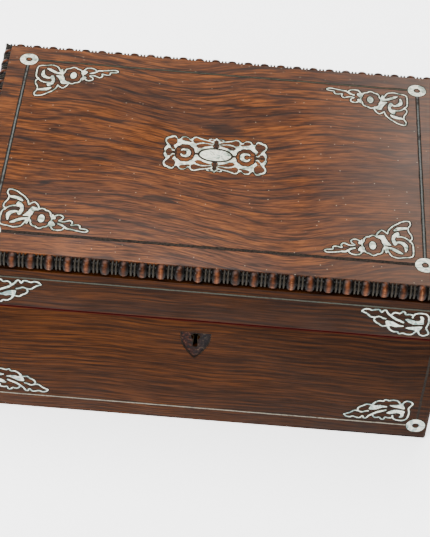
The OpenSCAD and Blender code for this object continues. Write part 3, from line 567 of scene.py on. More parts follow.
def board_ring(half_l, half_d, inset, z):
    """Plan of a mitred board that faces -Y, with its share of the two rounded corners."""
    radius = max(CORNER_R - inset, 0.1)
    x = half_l - SKIN - inset - radius
    y = -(half_d - SKIN - inset - radius)
    left = [math.radians(a) for a in (225, 240, 255, 270)]
    right = [math.radians(a) for a in (270, 285, 300, 315)]
    ring = [(-x + radius * math.cos(a), y + radius * math.sin(a), z) for a in left]
    ring += [(x + radius * math.cos(a), y + radius * math.sin(a), z) for a in right]
    ring += [(half_l - BOARD, -half_d + BOARD, z), (-half_l + BOARD, -half_d + BOARD, z)]
    return ring


def edge_steps(z, inward, size):
    """Heights and insets that round a board's edge at height z; inward is 1 at its foot."""
    return [(z + inward * size * (1 - math.cos(a)), size * (1 - math.sin(a)))
            for a in (0, math.pi / 4, math.pi / 2)]


def board(name, side, low, high, material, step=None):
    """One mitred side of the case or lid. step lowers its outer edge to seat the moulding."""
    half_l, half_d = (HALF_W, HALF_D) if side % 2 == 0 else (HALF_D, HALF_W)
    profile = edge_steps(low, 1, EASE)
    if step:
        profile += [(step, 0), (step, MOULD_OUT), (high, MOULD_OUT)]
    else:
        profile += edge_steps(high, -1, EASE)[::-1]
    rings = [board_ring(half_l, half_d, inset, z) for z, inset in profile]
    rings = [[turned(p, side) for p in ring] for ring in rings]
    return loft(name, rings, material)


SIDES = ("front", "right", "back", "left")
SHIELD_X, SHIELD_Z = -3.3, CASE_TOP - 10.4
SHIELD = [(-9.5, 0), (9.5, 0), (9.3, -6), (8.4, -10), (6.7, -14), (4.3, -18), (1.6, -21.6), (0, -23.5),
          (-1.6, -21.6), (-4.3, -18), (-6.7, -14), (-8.4, -10), (-9.3, -6)]
RECESS = 0.9          # depth of the empty shield
KEYHOLE_R = 2.9       # of the round part
KEYHOLE_L = 9         # from its middle to the foot of the slot


def shield_outline(grow=0.0):
    """The shield round the keyhole, in x and z."""
    middle = Vector((0, -9))
    points = []
    for p in SHIELD:
        out = (Vector(p) - middle).normalized() * grow
        points.append((SHIELD_X + p[0] + out.x, SHIELD_Z + p[1] + out.y))
    return points


def keyhole_outline(radius, length):
    """A round hole with a slot below it, in x and z."""
    z = CASE_TOP - 14.4
    half = radius * 0.52
    start = math.acos(half / radius)
    points = []
    for k in range(17):
        a = -start + k / 16 * (math.pi + 2 * start)
        points.append((SHIELD_X + radius * math.cos(a), z + radius * math.sin(a)))
    points += [(SHIELD_X - half, z - length), (SHIELD_X + half, z - length)]
    return points


LEAF_W = 40           # length of each hinge leaf
LEAF_IN = 8.05        # how far the leaves reach in from the back
CLEAR = 1             # how far cutters stand out of the wood that they cut


def leaf_cutters(node, z0, z1):
    """Cutters for the two hinge leaves let into a back board, from height z0 to z1."""
    low, high = box_mm(node)
    return [cutter_box((left - PLAY, HALF_D - LEAF_IN, z0), (left + LEAF_W + PLAY, HALF_D + 5, z1))
            for left in (low.x, high.x - LEAF_W)]


def case_boards():
    for side, word in enumerate(SIDES):
        material = WOOD_X if side % 2 == 0 else WOOD_Y
        obj = board("case_board_" + word, side, 0, CASE_TOP, material)
        if word == "front":
            lock_low, lock_high = box_mm("lock_case")
            plate_lip = 6
            through = -IN_D + CLEAR
            pocket = cutter_box((lock_low.x + plate_lip, lock_low.y, lock_low.z),
                                (lock_high.x - plate_lip, through, CASE_TOP + CLEAR))
            shield = cutter_along_y(shield_outline(), -HALF_D - CLEAR, -HALF_D + RECESS)
            keyhole = cutter_along_y(keyhole_outline(KEYHOLE_R, KEYHOLE_L), -HALF_D - CLEAR, through)
            cut(obj, pocket, shield, keyhole)
        if word == "back":
            cut(obj, *leaf_cutters("hinge_case_leaves", CASE_TOP - 1.5, CASE_TOP + CLEAR))
        attach(obj, "case", "rosewood", "case_" + word)


def lid_boards():
    for side, word in enumerate(SIDES):
        material = WOOD_LID if side % 2 == 0 else WOOD_Y
        obj = board("lid_board_" + word, side, LID_BOTTOM, PANEL_Z, material, step=MOULD_Z)
        if word == "front":
            low, high = box_mm("link_plate")
            plate_t = 1.2
            cut(obj, cutter_box((low.x - PLAY, low.y - PLAY, LID_BOTTOM - CLEAR),
                                (high.x + PLAY, high.y + PLAY, LID_BOTTOM + plate_t)))
        if word == "back":
            cut(obj, *leaf_cutters("hinge_lid_leaves", LID_BOTTOM - CLEAR, LID_BOTTOM + 1.5))
        attach(obj, "lid", "rosewood", "lid_" + word)


def lid_panel():
    """The veneered top, with its edge eased where it meets the moulding."""
    rings = []
    for z, inset in [(PANEL_Z, 0), *edge_steps(BODY_H - SKIN, -1, EASE)[::-1]]:
        x, y = TOP_W - inset, TOP_D - inset
        rings.append([(-x, -y, z), (x, -y, z), (x, y, z), (-x, y, z)])
    attach(loft("lid_panel", rings, WOOD_TOP), "lid", "rosewood_top", "lid_top")


# ---------- bead moulding ----------

# (share of the pitch from a bead's middle, share of the full radius) over one bead and two reels
BEAD_PROFILE = [
    (-0.275, 0.60), (-0.27, 0.74), (-0.24, 0.845), (-0.19, 0.915), (-0.13, 0.96), (-0.065, 0.99), (0, 1),
    (0.065, 0.99), (0.13, 0.96), (0.19, 0.915), (0.24, 0.845), (0.27, 0.74), (0.275, 0.60),
    (0.325, 0.58), (0.335, 0.80), (0.36, 0.875), (0.40, 0.90), (0.44, 0.875), (0.465, 0.80), (0.475, 0.60),
    (0.525, 0.60), (0.535, 0.80), (0.56, 0.875), (0.60, 0.90), (0.64, 0.875), (0.665, 0.80), (0.675, 0.58),
]
BEAD_PITCH = 11.1
BEAD_SHIFT = 1.1      # how far the front strip's beads sit off the middle
BEAD_END = 0.3        # share of the pitch from a bead's middle to its end
BEAD_RUB_AND_LIGHT = 0.86      # share of the radius above which a bead's crown is brown: partly rubbed wood, partly painted light
REEL_HIGHLIGHT = 0.84      # share of the radius above which a reel carries its painted grey highlight
BELLY = 0.18          # how far the lower front of the strip swells out of round


def bead_strip(side_w, side_d, shift, side, seed):
    """Half-round bead and reel strip for a side that faces -Y, mitred at both ends."""
    draw = random.Random(seed)
    beads = round(2 * side_w / BEAD_PITCH)
    pitch = 2 * side_w / beads
    phase = (pitch / 2 if beads % 2 else 0) + shift
    axis_y = -side_d + MOULD_R
    axis_z = BODY_H - MOULD_R
    back = MOULD_OUT - MOULD_R
    arc = 20
    verts, faces, crown = [], [], []
    first = -(beads // 2) - 1
    rows = 0
    for k in range(first, beads // 2 + 2):
        swell = draw.uniform(0.975, 1.0)
        crown_amount = draw.uniform(0.35, 1.0)
        for t, share in BEAD_PROFILE:
            on_bead = abs(t) < BEAD_END
            r = MOULD_R * share * (swell if on_bead else 1)
            reach = math.acos(-min(back / r, 0.999))
            for j in range(arc + 1):
                a = reach * (2 * j / arc - 1)
                full = r * (1 + BELLY * math.sin(2 * a) ** 2) if -math.pi / 2 < a < 0 else r
                verts.append((phase + (k + t) * pitch, axis_y - full * math.cos(a),
                              axis_z + full * math.sin(a)))
                # Bead crowns turn brown towards the front, partly rubbed wood and partly painted light; reel
                # tops get a painted grey highlight
                if on_bead:
                    rub_and_light = crown_amount * max(0, (share - BEAD_RUB_AND_LIGHT) / (1 - BEAD_RUB_AND_LIGHT)) ** 4.5
                else:
                    rub_and_light = -max(0, (share - REEL_HIGHLIGHT) / 0.06)
                crown.append(rub_and_light * max(0, math.cos(a * 0.75)) ** 0.5)
            rows += 1
    width = arc + 1
    for i in range(rows - 1):
        for j in range(arc):
            faces.append((i * width + j, i * width + j + 1, (i + 1) * width + j + 1, (i + 1) * width + j))
        faces.append((i * width + arc, i * width, (i + 1) * width, (i + 1) * width + arc))
    faces.append(tuple(range(width)))
    faces.append(tuple((rows - 1) * width + j for j in range(width)))
    mesh = bpy.data.meshes.new("moulding")
    mesh.from_pydata([Vector(v) * MM for v in verts], [], faces)
    mesh.attributes.new("crown", "FLOAT", "POINT").data.foreach_set("value", crown)
    made = bmesh.new()
    made.from_mesh(mesh)
    bmesh.ops.recalc_face_normals(made, faces=made.faces)
    for end in (-1, 1):
        corner = Vector((end * side_w, -side_d, 0)) * MM
        result = bmesh.ops.bisect_plane(made, geom=made.verts[:] + made.edges[:] + made.faces[:], dist=1e-7,
                                        plane_co=corner, plane_no=(end, 1, 0), clear_outer=True)
        edges = [g for g in result["geom_cut"] if isinstance(g, bmesh.types.BMEdge)]
        bmesh.ops.holes_fill(made, edges=edges)
    made.to_mesh(mesh)
    made.free()
    mesh.transform(Matrix.Rotation(math.radians(90 * side), 4, "Z"))
    return mesh


def mouldings():
    for side, word in enumerate(SIDES):
        w, d = (HALF_W, HALF_D) if side % 2 == 0 else (HALF_D, HALF_W)
        mesh = bead_strip(w, d, BEAD_SHIFT if word == "front" else 0, side, 40 + side)
        obj = make_object("bead_moulding_" + word, mesh, MOULD, sharp=50)
        attach(obj, "lid", "moulding_wood", "moulding_" + word)


# ---------- inlay outlines ----------

def smooth(points, closed=False, steps=4):
    """A Catmull-Rom curve through the points."""
    points = [Vector(p) for p in points]
    count = len(points)
    made = []
    for i in range(count if closed else count - 1):
        if closed:
            a, b, c, d = (points[(i + k) % count] for k in (-1, 0, 1, 2))
        else:
            a, b, c, d = (points[min(max(i + k, 0), count - 1)] for k in (-1, 0, 1, 2))
        for k in range(steps):
            t = k / steps
            made.append(0.5 * (2 * b + (c - a) * t + (2 * a - 5 * b + 4 * c - d) * t * t
                               + (3 * b - a - 3 * c + d) * t ** 3))
    if not closed:
        made.append(points[-1])
    return made


def disc(centre, radius, sides=8):
    return [centre + radius * Vector((math.cos(a), math.sin(a)))
            for a in (2 * math.pi * k / sides for k in range(sides))]


def oval(centre, rx, ry, sides=36, scallops=0, wave=0.0):
    """An ellipse, with scallops round it if asked for."""
    made = []
    for k in range(sides):
        a = 2 * math.pi * k / sides
        swell = 1 - wave + wave * abs(math.cos(scallops / 2 * a))
        made.append(Vector(centre) + Vector((rx * swell * math.cos(a), ry * swell * math.sin(a))))
    return made


def ribbon(points, widths, closed=False, grow=0.0):
    """Triangles and round ends that cover a stroke."""
    count = len(points)
    sides = []
    for i, p in enumerate(points):
        before = points[i - 1] if closed or i else p
        after = points[(i + 1) % count] if closed or i < count - 1 else p
        along = (after - before).normalized()
        out = Vector((-along.y, along.x)) * (widths[i] / 2 + grow)
        sides.append((p + out, p - out))
    shapes = []
    for i in range(count if closed else count - 1):
        (a, b), (c, d) = sides[i], sides[(i + 1) % count]
        shapes += [[a, b, d], [a, d, c]]
    if not closed:
        shapes += [disc(points[i], widths[i] / 2 + grow) for i in (0, -1)]
    return shapes


def spread(widths, count, steps=4):
    """Widths given at the control points, or one width, for every point of the smooth curve."""
    if not isinstance(widths, (list, tuple)):
        return [widths] * count
    made = []
    for a, b in zip(widths, widths[1:]):
        made += [a + (b - a) * k / steps for k in range(steps)]
    return (made + [widths[-1]])[:count]


def stroke(points, widths, kind="pearl"):
    """A curved stroke with its glue line. Shapes come as (kind, outline) pairs.

    pearl is inlaid, cut is sawn out of the pearl, over is inlaid again inside a cut, and edge is
    filled with glue.
    """
    curve = smooth(points)
    wide = spread(widths, len(curve))
    return ([(kind, shape) for shape in ribbon(curve, wide)]
            + [("edge", shape) for shape in ribbon(curve, wide, grow=EDGE)])


def loop(curve, width):
    wide = [width] * len(curve)
    return ([("pearl", shape) for shape in ribbon(curve, wide, closed=True)]
            + [("edge", shape) for shape in ribbon(curve, wide, closed=True, grow=EDGE)])


def blob(points, kind="pearl", rounded=True, edge=EDGE):
    """A filled outline of the given kind, with a glue line of width edge round it."""
    curve = smooth(points, closed=True, steps=3) if rounded else [Vector(p) for p in points]
    around = ribbon(curve, [0.02] * len(curve), closed=True, grow=edge)
    return [(kind, curve)] + [("edge", shape) for shape in around]


def solve(shapes):
    """Works out the inlay's flat triangles: the pearl, and the wider bed of glue under it.

    The triangulation can lay a sliver of a shape over triangles far from it, so a shape only
    counts for the triangles inside its own box.
    """
    points, faces, kinds, boxes = [], [], [], []
    for kind, shape in shapes:
        area = sum(a.x * b.y - b.x * a.y for a, b in zip(shape, shape[1:] + shape[:1]))
        if abs(area) < 1e-4:
            continue
        outline = shape if area > 0 else shape[::-1]
        faces.append(list(range(len(points), len(points) + len(outline))))
        points += [Vector(p) for p in outline]
        kinds.append(kind)
        across, up = [p[0] for p in outline], [p[1] for p in outline]
        boxes.append((min(across), min(up), max(across), max(up)))
    verts, _, triangles, _, _, origins = delaunay_2d_cdt(points, [], faces, 0, 1e-3, True)
    top, bed = [], []
    for triangle, inside in zip(triangles, origins):
        middle = sum((Vector(verts[i]) for i in triangle), Vector((0, 0))) / 3
        found = {kinds[f] for f in inside
                 if boxes[f][0] <= middle.x <= boxes[f][2] and boxes[f][1] <= middle.y <= boxes[f][3]}
        solid = "over" in found or ("pearl" in found and "cut" not in found)
        if solid:
            top.append(triangle)
        if solid or "edge" in found:
            bed.append(triangle)
    return verts, top, bed


def plate(verts, triangles, places, high, low):
    """Verts and faces of thin solids: the flat triangles at height high, with walls down to low."""
    used = sorted({i for t in triangles for i in t})
    order = {v: k for k, v in enumerate(used)}
    edges = {}
    for t in triangles:
        for a, b in zip(t, (*t[1:], t[0])):
            edges[(order[a], order[b])] = True
    rim = [(a, b) for a, b in edges if (b, a) not in edges]
    all_verts, all_faces = [], []
    for place in places:
        base = len(all_verts)
        count = len(used)
        all_verts += [place(verts[i].x, verts[i].y, high) for i in used]
        all_verts += [place(verts[i].x, verts[i].y, low) for i in used]
        all_faces += [tuple(base + order[i] for i in t) for t in triangles]
        all_faces += [tuple(base + count + order[i] for i in reversed(t)) for t in triangles]
        all_faces += [(base + a, base + count + a, base + count + b, base + b) for a, b in rim]
    return all_verts, all_faces


def inlay(name, shapes, places, body, node):
    """One pearl piece and the glue bed under it, set at each of the places."""
    verts, top, bed = solve(shapes)
    pearl_parts = plate(verts, top, places, 0, -INLAY_T)
    glue_parts = plate(verts, bed, places, -PROUD, -INLAY_T)
    attach(from_parts(name, *pearl_parts, PEARL, 30), body, "pearl", node)
    attach(from_parts(name + "_glue", *glue_parts, GLUE, 30), body, "pearl")


def on_top(x, y, h):
    return x, y, BODY_H + h


def on_front(x, z, h):
    return x, -HALF_D - h, z


def corner_place(sx, back):
    """Takes (inward from the side line, inward from the front or back line) to the lid's top."""
    outward = NEAR_LEFT_SHIFT if sx < 0 and not back else 0

    def place(u, v, h):
        y = RING_BACK_Y - v if back else RING_FRONT_Y + v
        return on_top(sx * (RING_X + outward - u), y, h)
    return place


def corner_spray():
    """Spray of the top, as (inward from the side line, inward from the front or back line)."""
    shapes = []
    shapes += stroke([(50.3, 6.2), (55, 5.1), (59, 4.6), (60.8, 5.8), (59.5, 7), (56, 7.5), (55.6, 9.6),
        (53.7, 10.4), (50.5, 9.6)], 0.75)
    shapes += stroke([(50.3, 9.8), (50.7, 12.2), (49, 13.7), (47.2, 12.8), (45, 12.1), (42.5, 12.8),
        (44, 14), (44.8, 16), (43.7, 17.4), (41.5, 17.8), (39.5, 16.5)], 0.8)
    shapes += stroke([(50.3, 6.2), (48, 6.4), (46.5, 7.7), (44.5, 9.2), (42.5, 10)], 1.2)
    shapes += stroke([(46.5, 8), (45.5, 5.5), (43, 4.4), (40, 4.7), (38.5, 6.5), (38, 9)], 0.8)
    shapes += blob([(40, 14), (40.1, 15.5), (39, 17), (37.8, 18), (38, 15.5), (38.1, 14)])
    shapes += blob([(40.5, 8.5), (39.5, 11), (38, 12), (37.2, 10), (36.8, 7.5), (38.5, 7.5)])
    shapes += loop(oval((31.2, 13.7), 6.9, 8.8, sides=64, scallops=8, wave=0.1), 0.8)
    shapes += blob(oval((31.6, 13.6), 2.0, 3.4, sides=20), rounded=False)
    shapes += stroke([(29.2, 22.5), (28.2, 25.2), (26, 27.6), (24, 26.6), (22.5, 25)], 0.8)
    shapes += stroke([(22.5, 25), (21.5, 28.5), (19, 32), (16, 34.5), (14, 36.2), (11, 37.5),
        (8.7, 37.5)], 0.8)
    shapes += stroke([(8.7, 37.5), (8.2, 36), (8.2, 34.2), (9.5, 31.5), (9.2, 28), (7.7, 25), (7.4, 22),
        (8.7, 20.5)], 0.7)
    shapes += stroke([(9, 20.5), (7.2, 17.5), (6.8, 13), (7.1, 7.5), (9, 5.7), (12.5, 5.1), (16, 4.3),
        (20, 5.6), (21.7, 8.5), (23, 11), (23.7, 13)], 0.75)
    shapes += blob([(18.5, 28.5), (16.5, 31), (13, 31.8), (9.5, 31.7), (10.5, 30.4), (13, 29.5),
        (15.5, 28.7), (18, 27.7)])
    shapes += blob([(16, 27), (18.2, 25.5), (19.5, 23), (19.8, 19.5), (19, 16.5), (17.8, 15.2), (16.5, 17),
        (17.5, 19), (18, 21), (17, 22.8), (15.2, 23.8), (15.2, 25.5)])
    shapes += stroke([(16.5, 22.8), (14, 23.2), (11.5, 22.4), (9.5, 20.7), (8.5, 19)], 0.9)
    shapes += stroke([(17.5, 17.2), (15.5, 18.2), (13.2, 17.4), (11.5, 15.5), (11.2, 13), (11.5, 10.5)],
        [0.8, 1.5, 2.4, 2.6, 1.8, 0.8])
    shapes += blob([(29, 22.2), (26.5, 23.2), (24.5, 23), (23.5, 20.5), (22, 17.5), (20.2, 15),
        (22.5, 14.8), (24.7, 15), (25.2, 18), (26.7, 20), (28.5, 21)])
    shapes += blob([(24.5, 13.2), (21.5, 13.2), (18.5, 12.4), (15.5, 10.5), (13, 8.2), (15.5, 8.2),
        (18.5, 10), (21, 11.5), (22, 11.2), (22.5, 9), (23.7, 8)])
    return shapes


def grown(points, amount):
    """The closed outline, moved outwards by an even amount."""
    points = [Vector(p) for p in points]
    area = sum(a.x * b.y - b.x * a.y for a, b in zip(points, points[1:] + points[:1]))
    side = amount if area > 0 else -amount
    made = []
    for before, p, after in zip(points[-1:] + points[:-1], points, points[1:] + points[:1]):
        along = (after - before).normalized()
        made.append(p + Vector((along.y, -along.x)) * side)
    return made


def quarters(points):
    """The same outline in all four quarters round the middle."""
    return [[(sx * x, sy * y) for x, y in points] for sx in (1, -1) for sy in (1, -1)]


def plaque():
    """Pierced plate in the middle of the top, the same in all four quarters but for two curls."""
    edge = [(0, 16.6), (1.3, 15.2), (3.4, 15.6), (4.8, 15.2), (5, 14), (7.5, 14.6), (10.4, 15.6),
        (12.4, 16.4), (14.4, 16.2), (15.6, 14.6), (17, 13.8), (18.4, 15.2), (20, 16.2), (22, 15.8),
        (23, 14), (24.2, 12.8), (25.4, 13.6), (25.8, 15.2), (27, 16.2), (28.8, 16), (30, 14.9),
        (31.6, 14.3), (32.6, 12.3), (32.7, 10), (31.8, 8), (31.3, 6.2), (32.2, 4.5), (32.8, 2.5),
        (32.4, 0.8), (32.5, 0)]
    right = edge + [(x, -y) for x, y in edge[-2::-1]]
    shapes = blob(right + [(-x, y) for x, y in right[-2:0:-1]])
    for sx in (1, -1):
        shapes += blob(oval((sx * 19.6, 0), 6.9, 8.9, sides=40, scallops=10, wave=0.06), "cut", rounded=False)
        curl = [(22.6, 3.2), (21.4, 4.3), (18.9, 4.3), (16.8, 2.6), (16.4, 0), (17.2, -2.6), (19.4, -4),
            (21.6, -3.6), (22.8, -1.8)]
        shapes += stroke([(sx * (19 + 0.76 * (x - 19)), 0.76 * y) for x, y in curl],
            [0.8, 1.3, 1.9, 2.4, 2.5, 2.4, 1.9, 1.3, 0.8], "over")
    cuts = [[(25, 1.2), (27.4, 0.9), (28.4, 1.6), (28.8, 3.2), (30.2, 3.6), (30.8, 2.2), (31.6, 0.8),
        (31.6, 0), (25, 0)], [(25.3, 11), (25.8, 13.4), (27, 14.8), (28.6, 13.7), (30.4, 13), (31.5, 11.5),
        (31.2, 9.4), (30, 8), (28.9, 6.2), (28.2, 4.2), (26.6, 2.4), (25.6, 2.6), (27, 5), (27.5, 6.6),
        (26.4, 7.8), (25.4, 9.2)], [(15.2, 11.8), (17.6, 12.6), (18.2, 14.2), (19.8, 15.2), (21.6, 14.6),
        (22.2, 13.2), (21, 12.2), (18.6, 11.8), (16.4, 11.2)], [(1.4, 10.6), (3.4, 12.2), (6, 13),
        (8.6, 13.6), (11, 14.4), (12.8, 15.5), (14.2, 14.8), (14.8, 13), (14.4, 11), (13, 10.3), (11, 11.2),
        (8.6, 12), (3.6, 11.2)], [(1.2, 9.6), (4, 9.9), (6.6, 10.2), (9, 9.9), (11.3, 9.2), (12.7, 7.6),
        (11.2, 6.1), (9.3, 6.3), (7.8, 7.6), (4, 9)], [(0, 15.4), (1.2, 13.6), (0.9, 11.4), (1.6, 9.6),
        (1.9, 8), (1.2, 7.2), (0, 7.0)], [(1.8, 14.3), (3, 15), (4, 14.6), (3, 13.8)], [(10.6, 0.8),
        (12.8, 0.5), (13.2, 0), (10.6, 0)],]
    for outline in cuts:
        for quarter in quarters(outline):
            shapes += blob(grown(quarter, 0.45), "cut", rounded=False, edge=0.38)
    shapes += blob(oval((0, 0), 11.5, 7.0), "cut", rounded=False)
    shapes += blob(oval((0, 0), 10, 5.4), "over", rounded=False, edge=1.0)
    return shapes


def front_spray():
    """Right-hand spray of the front: x, and depth below the upper string line."""
    line = 15.7

    def local(points):
        return [(x, -z - line) for x, z in points]
    shapes = []
    shapes += stroke(local([(95.2, -20.3), (96.5, -18.5), (99, -18), (101, -18.8), (103.5, -18),
        (105.5, -18), (107, -20), (108, -18.2), (109.5, -18.2), (110.8, -20.3), (112.5, -22),
        (115.5, -24.5), (118.5, -26), (121, -27.3)]), [0.9] * 9 + [1, 1.2, 1.4, 1.4, 1])
    shapes += stroke(local([(95.2, -20.3), (98, -21.8), (99.5, -23), (101, -24.5), (103.5, -24.6),
        (106, -23.7), (108.5, -24.8), (110, -25.2)]), 0.9)
    shapes += stroke(local([(103.6, -24.8), (103.3, -27), (104.8, -29), (106.5, -30), (108.5, -31.6),
        (111, -31.3)]), 0.9)
    shapes += blob(local([(110.5, -27), (113.5, -27), (116, -28), (119, -29.8), (121.5, -30.2), (121, -31),
        (118.5, -31.3), (116.5, -31.7), (114.5, -31), (113, -31.3), (113.5, -33), (114, -34.5),
        (112.8, -33.8), (111.5, -31.8), (110.8, -29.5)]))
    shapes += stroke(local([(112.5, -32.5), (113.8, -34.3), (116, -35.8), (118.5, -35.8), (119.7, -37.3),
        (122, -36.6), (124.5, -37.3), (127.3, -37), (128.8, -35.3), (129.8, -33.8)]), 0.9)
    shapes += blob(local([(123, -32), (125.5, -30.8), (129, -30.2), (132.5, -29.5), (132.6, -31),
        (131.6, -33), (131, -35), (129.8, -34.5), (128.5, -33.2), (126, -32.8)]))
    shapes += stroke(local([(131, -34), (131.8, -36.3), (133.8, -37.4), (136, -36.8), (137.3, -35.2),
        (136.5, -33), (135.3, -30.5), (136, -27), (136, -24), (135.3, -20.5), (133.5, -18.7),
        (130.5, -18.3), (127.8, -18.9), (126.4, -20.5), (126, -22.5)]), 0.9)
    shapes += stroke(local([(126, -22.5), (125.8, -20.5), (123.5, -20), (121.5, -20.3), (120.8, -18.4),
        (119.3, -18.2), (117.8, -19.8), (115.5, -19.3), (113.8, -20.3), (113.2, -22)]), 0.9)
    shapes += blob(local([(121.8, -24.5), (124, -24), (126.5, -24.8), (129, -25.4), (130.8, -24.5),
        (131, -22.8), (130.2, -21.3), (131.5, -21), (132.8, -22.5), (132.9, -25), (133.2, -27.3),
        (130.5, -28), (127.5, -28.3), (125, -27.3), (123, -25.8)]))
    return shapes


def roundel_shapes():
    """A pearl ring with wood left in its middle."""
    centre = (0, 0)
    hole_r = RING_HOLE_R + 0.2
    return (blob(oval(centre, RING_R, RING_R, sides=48), rounded=False, edge=0.5)
            + blob(oval(centre, hole_r, hole_r, sides=24), "cut", rounded=False, edge=0.9))


def shifted(place, x, y):
    return lambda u, v, h: place(x + u, y + v, h)


def pearl_inlays():
    corners = [corner_place(sx, back) for sx in (1, -1) for back in (False, True)]
    inlay("corner_sprays", corner_spray(), corners, "lid", "lid_corner_inlays")
    inlay("plaque", plaque(), [shifted(on_top, -0.4, 2.5)], "lid", "lid_plaque")
    upper = [lambda x, q, h: on_front(x, UPPER_LINE_Z - q, h),
             lambda x, q, h: on_front(-x - NEAR_LEFT_SHIFT, UPPER_LINE_Z - q, h)]
    inlay("lid_sprays", front_spray(), upper, "lid", "lid_front_inlays")
    lower = [lambda x, q, h, sx=sx: on_front(sx * x, LOWER_LINE_Z + 1.3 + q, h) for sx in (1, -1)]
    inlay("case_sprays", front_spray(), lower, "case", "case_inlays")
    rings = [shifted(on_top, sx * RING_X, y) for sx in (1, -1) for y in (RING_FRONT_Y, RING_BACK_Y)]
    rings += [shifted(on_front, sx * FRONT_RING_X, UPPER_LINE_Z) for sx in (1, -1)]
    inlay("lid_roundels", roundel_shapes(), rings, "lid", "lid_rings")
    low_rings = [shifted(on_front, sx * FRONT_RING_X, LOWER_LINE_Z) for sx in (1, -1)]
    inlay("case_roundels", roundel_shapes(), low_rings, "case", "case_inlays")


# ---------- stringing ----------

def strip(name, start, end, place, width, height, material, seed):
    """A thin bar along a line, its width a little uneven as sawn metal is."""
    draw = random.Random(seed)
    start, end = Vector(start), Vector(end)
    along = (end - start).normalized()
    out = Vector((-along.y, along.x))
    count = max(2, int((end - start).length / 4))
    high, low = [], []
    for k in range(count + 1):
        p = start + (end - start) * k / count
        drift = draw.uniform(-0.06, 0.06)
        half = width / 2 * draw.uniform(0.88, 1.08)
        high.append([place(*(p + out * (drift + s * half)), height) for s in (-1, 1)])
        low.append([place(*(p + out * (drift + s * half)), -INLAY_T) for s in (1, -1)])
    rings = [[*h, *l] for h, l in zip(high, low)]
    return loft(name, rings, material)


def string_line(name, start, end, place, body, core, edge_w, core_w, seed):
    """One run of stringing: a bed of glue, and unless core is None a metal line let into it."""
    node = "case_stringing" if body == "case" else "lid_stringing"
    bed = strip(name + "_bed", start, end, place, edge_w, -PROUD, GLUE, seed)
    attach(bed, body, "pewter", node)
    if core:
        bar = strip(name, start, end, place, core_w, -PROUD / 3, core, seed + 1)
        attach(bar, body, "pewter", node)


def stringing():
    stop = RING_R + 0.3
    shy = 0.6             # how far the upright lines stop short of the joint
    for k, sx in enumerate((-1, 1)):
        top_x, front_x = sx * RING_X, sx * FRONT_RING_X
        string_line(f"top_string_side_{k}", (top_x, RING_FRONT_Y + stop), (top_x, RING_BACK_Y - stop),
                    on_top, "lid", LINE_DARK, 2.7, 0.95, 10 + k)
        string_line(f"lid_string_side_{k}", (front_x, LID_BOTTOM + shy), (front_x, UPPER_LINE_Z - stop),
                    on_front, "lid", None, 1.5, 0, 20 + k)
        string_line(f"case_string_side_{k}", (front_x, LOWER_LINE_Z + stop), (front_x, CASE_TOP - shy),
                    on_front, "case", None, 1.5, 0, 30 + k)
    top_end = RING_X - stop
    front_end = FRONT_RING_X - stop
    for name, end_x, across, place, body, core, edge_w, core_w, seed in (
            ("top_string_front", top_end, RING_FRONT_Y, on_top, "lid", None, 2.6, 0, 41),
            ("top_string_back", top_end, RING_BACK_Y, on_top, "lid", LINE_GREY, 2.1, 0.9, 43),
            ("lid_string", front_end, UPPER_LINE_Z, on_front, "lid", LINE_GREY, 1.35, 1.0, 45),
            ("case_string", front_end, LOWER_LINE_Z, on_front, "case", LINE_TAN, 1.5, 0.95, 47)):
        string_line(name, (-end_x, across), (end_x, across), place, body, core, edge_w, core_w, seed)


# ---------- lock shield ----------

def escutcheon():
    """The floor of the shield recess, and a black line round its edge and round the keyhole: partly glue,
    partly painted shadow of the recess's wall and of the hole.
    """
    floor_y = -HALF_D + RECESS - 0.1

    def hole(radius, length=KEYHOLE_L):
        return [Vector(p) for p in keyhole_outline(radius, length)]
    shapes = [("pearl", [Vector(p) for p in shield_outline()]), ("cut", hole(KEYHOLE_R))]
    verts, top, _ = solve(shapes)

    def place(x, z, h):
        return x, floor_y - h, z
    floor = from_parts("shield_floor", *plate(verts, top, [place], 0, -0.1), ESCUTCHEON, 30)
    attach(floor, "case", "escutcheon_wood", "escutcheon")
    # Black rim: partly old glue, partly painted shadow of the recess's wall and the keyhole
    outline = [Vector(p) for p in shield_outline(-0.25)]
    ring = [("pearl", shape) for shape in ribbon(outline, [0.75] * len(outline), closed=True)]
    around = hole(KEYHOLE_R + 0.1, KEYHOLE_L + 0.2)
    ring += [("pearl", shape) for shape in ribbon(around, [0.5] * len(around), closed=True)]
    ring += [("cut", hole(KEYHOLE_R - 0.02))]
    verts, top, _ = solve(ring)
    dark_rim = from_parts("shield_glue_and_shadow_line", *plate(verts, top, [place], 0.35, 0), GLUE, 30)
    attach(dark_rim, "case", "escutcheon_wood", "escutcheon")


# ---------- linings ----------

PAD_BASE = 0.3        # thickness of a pad's rim
FLOOR_PUFF = 0.9
WALL_PUFF = 0.6


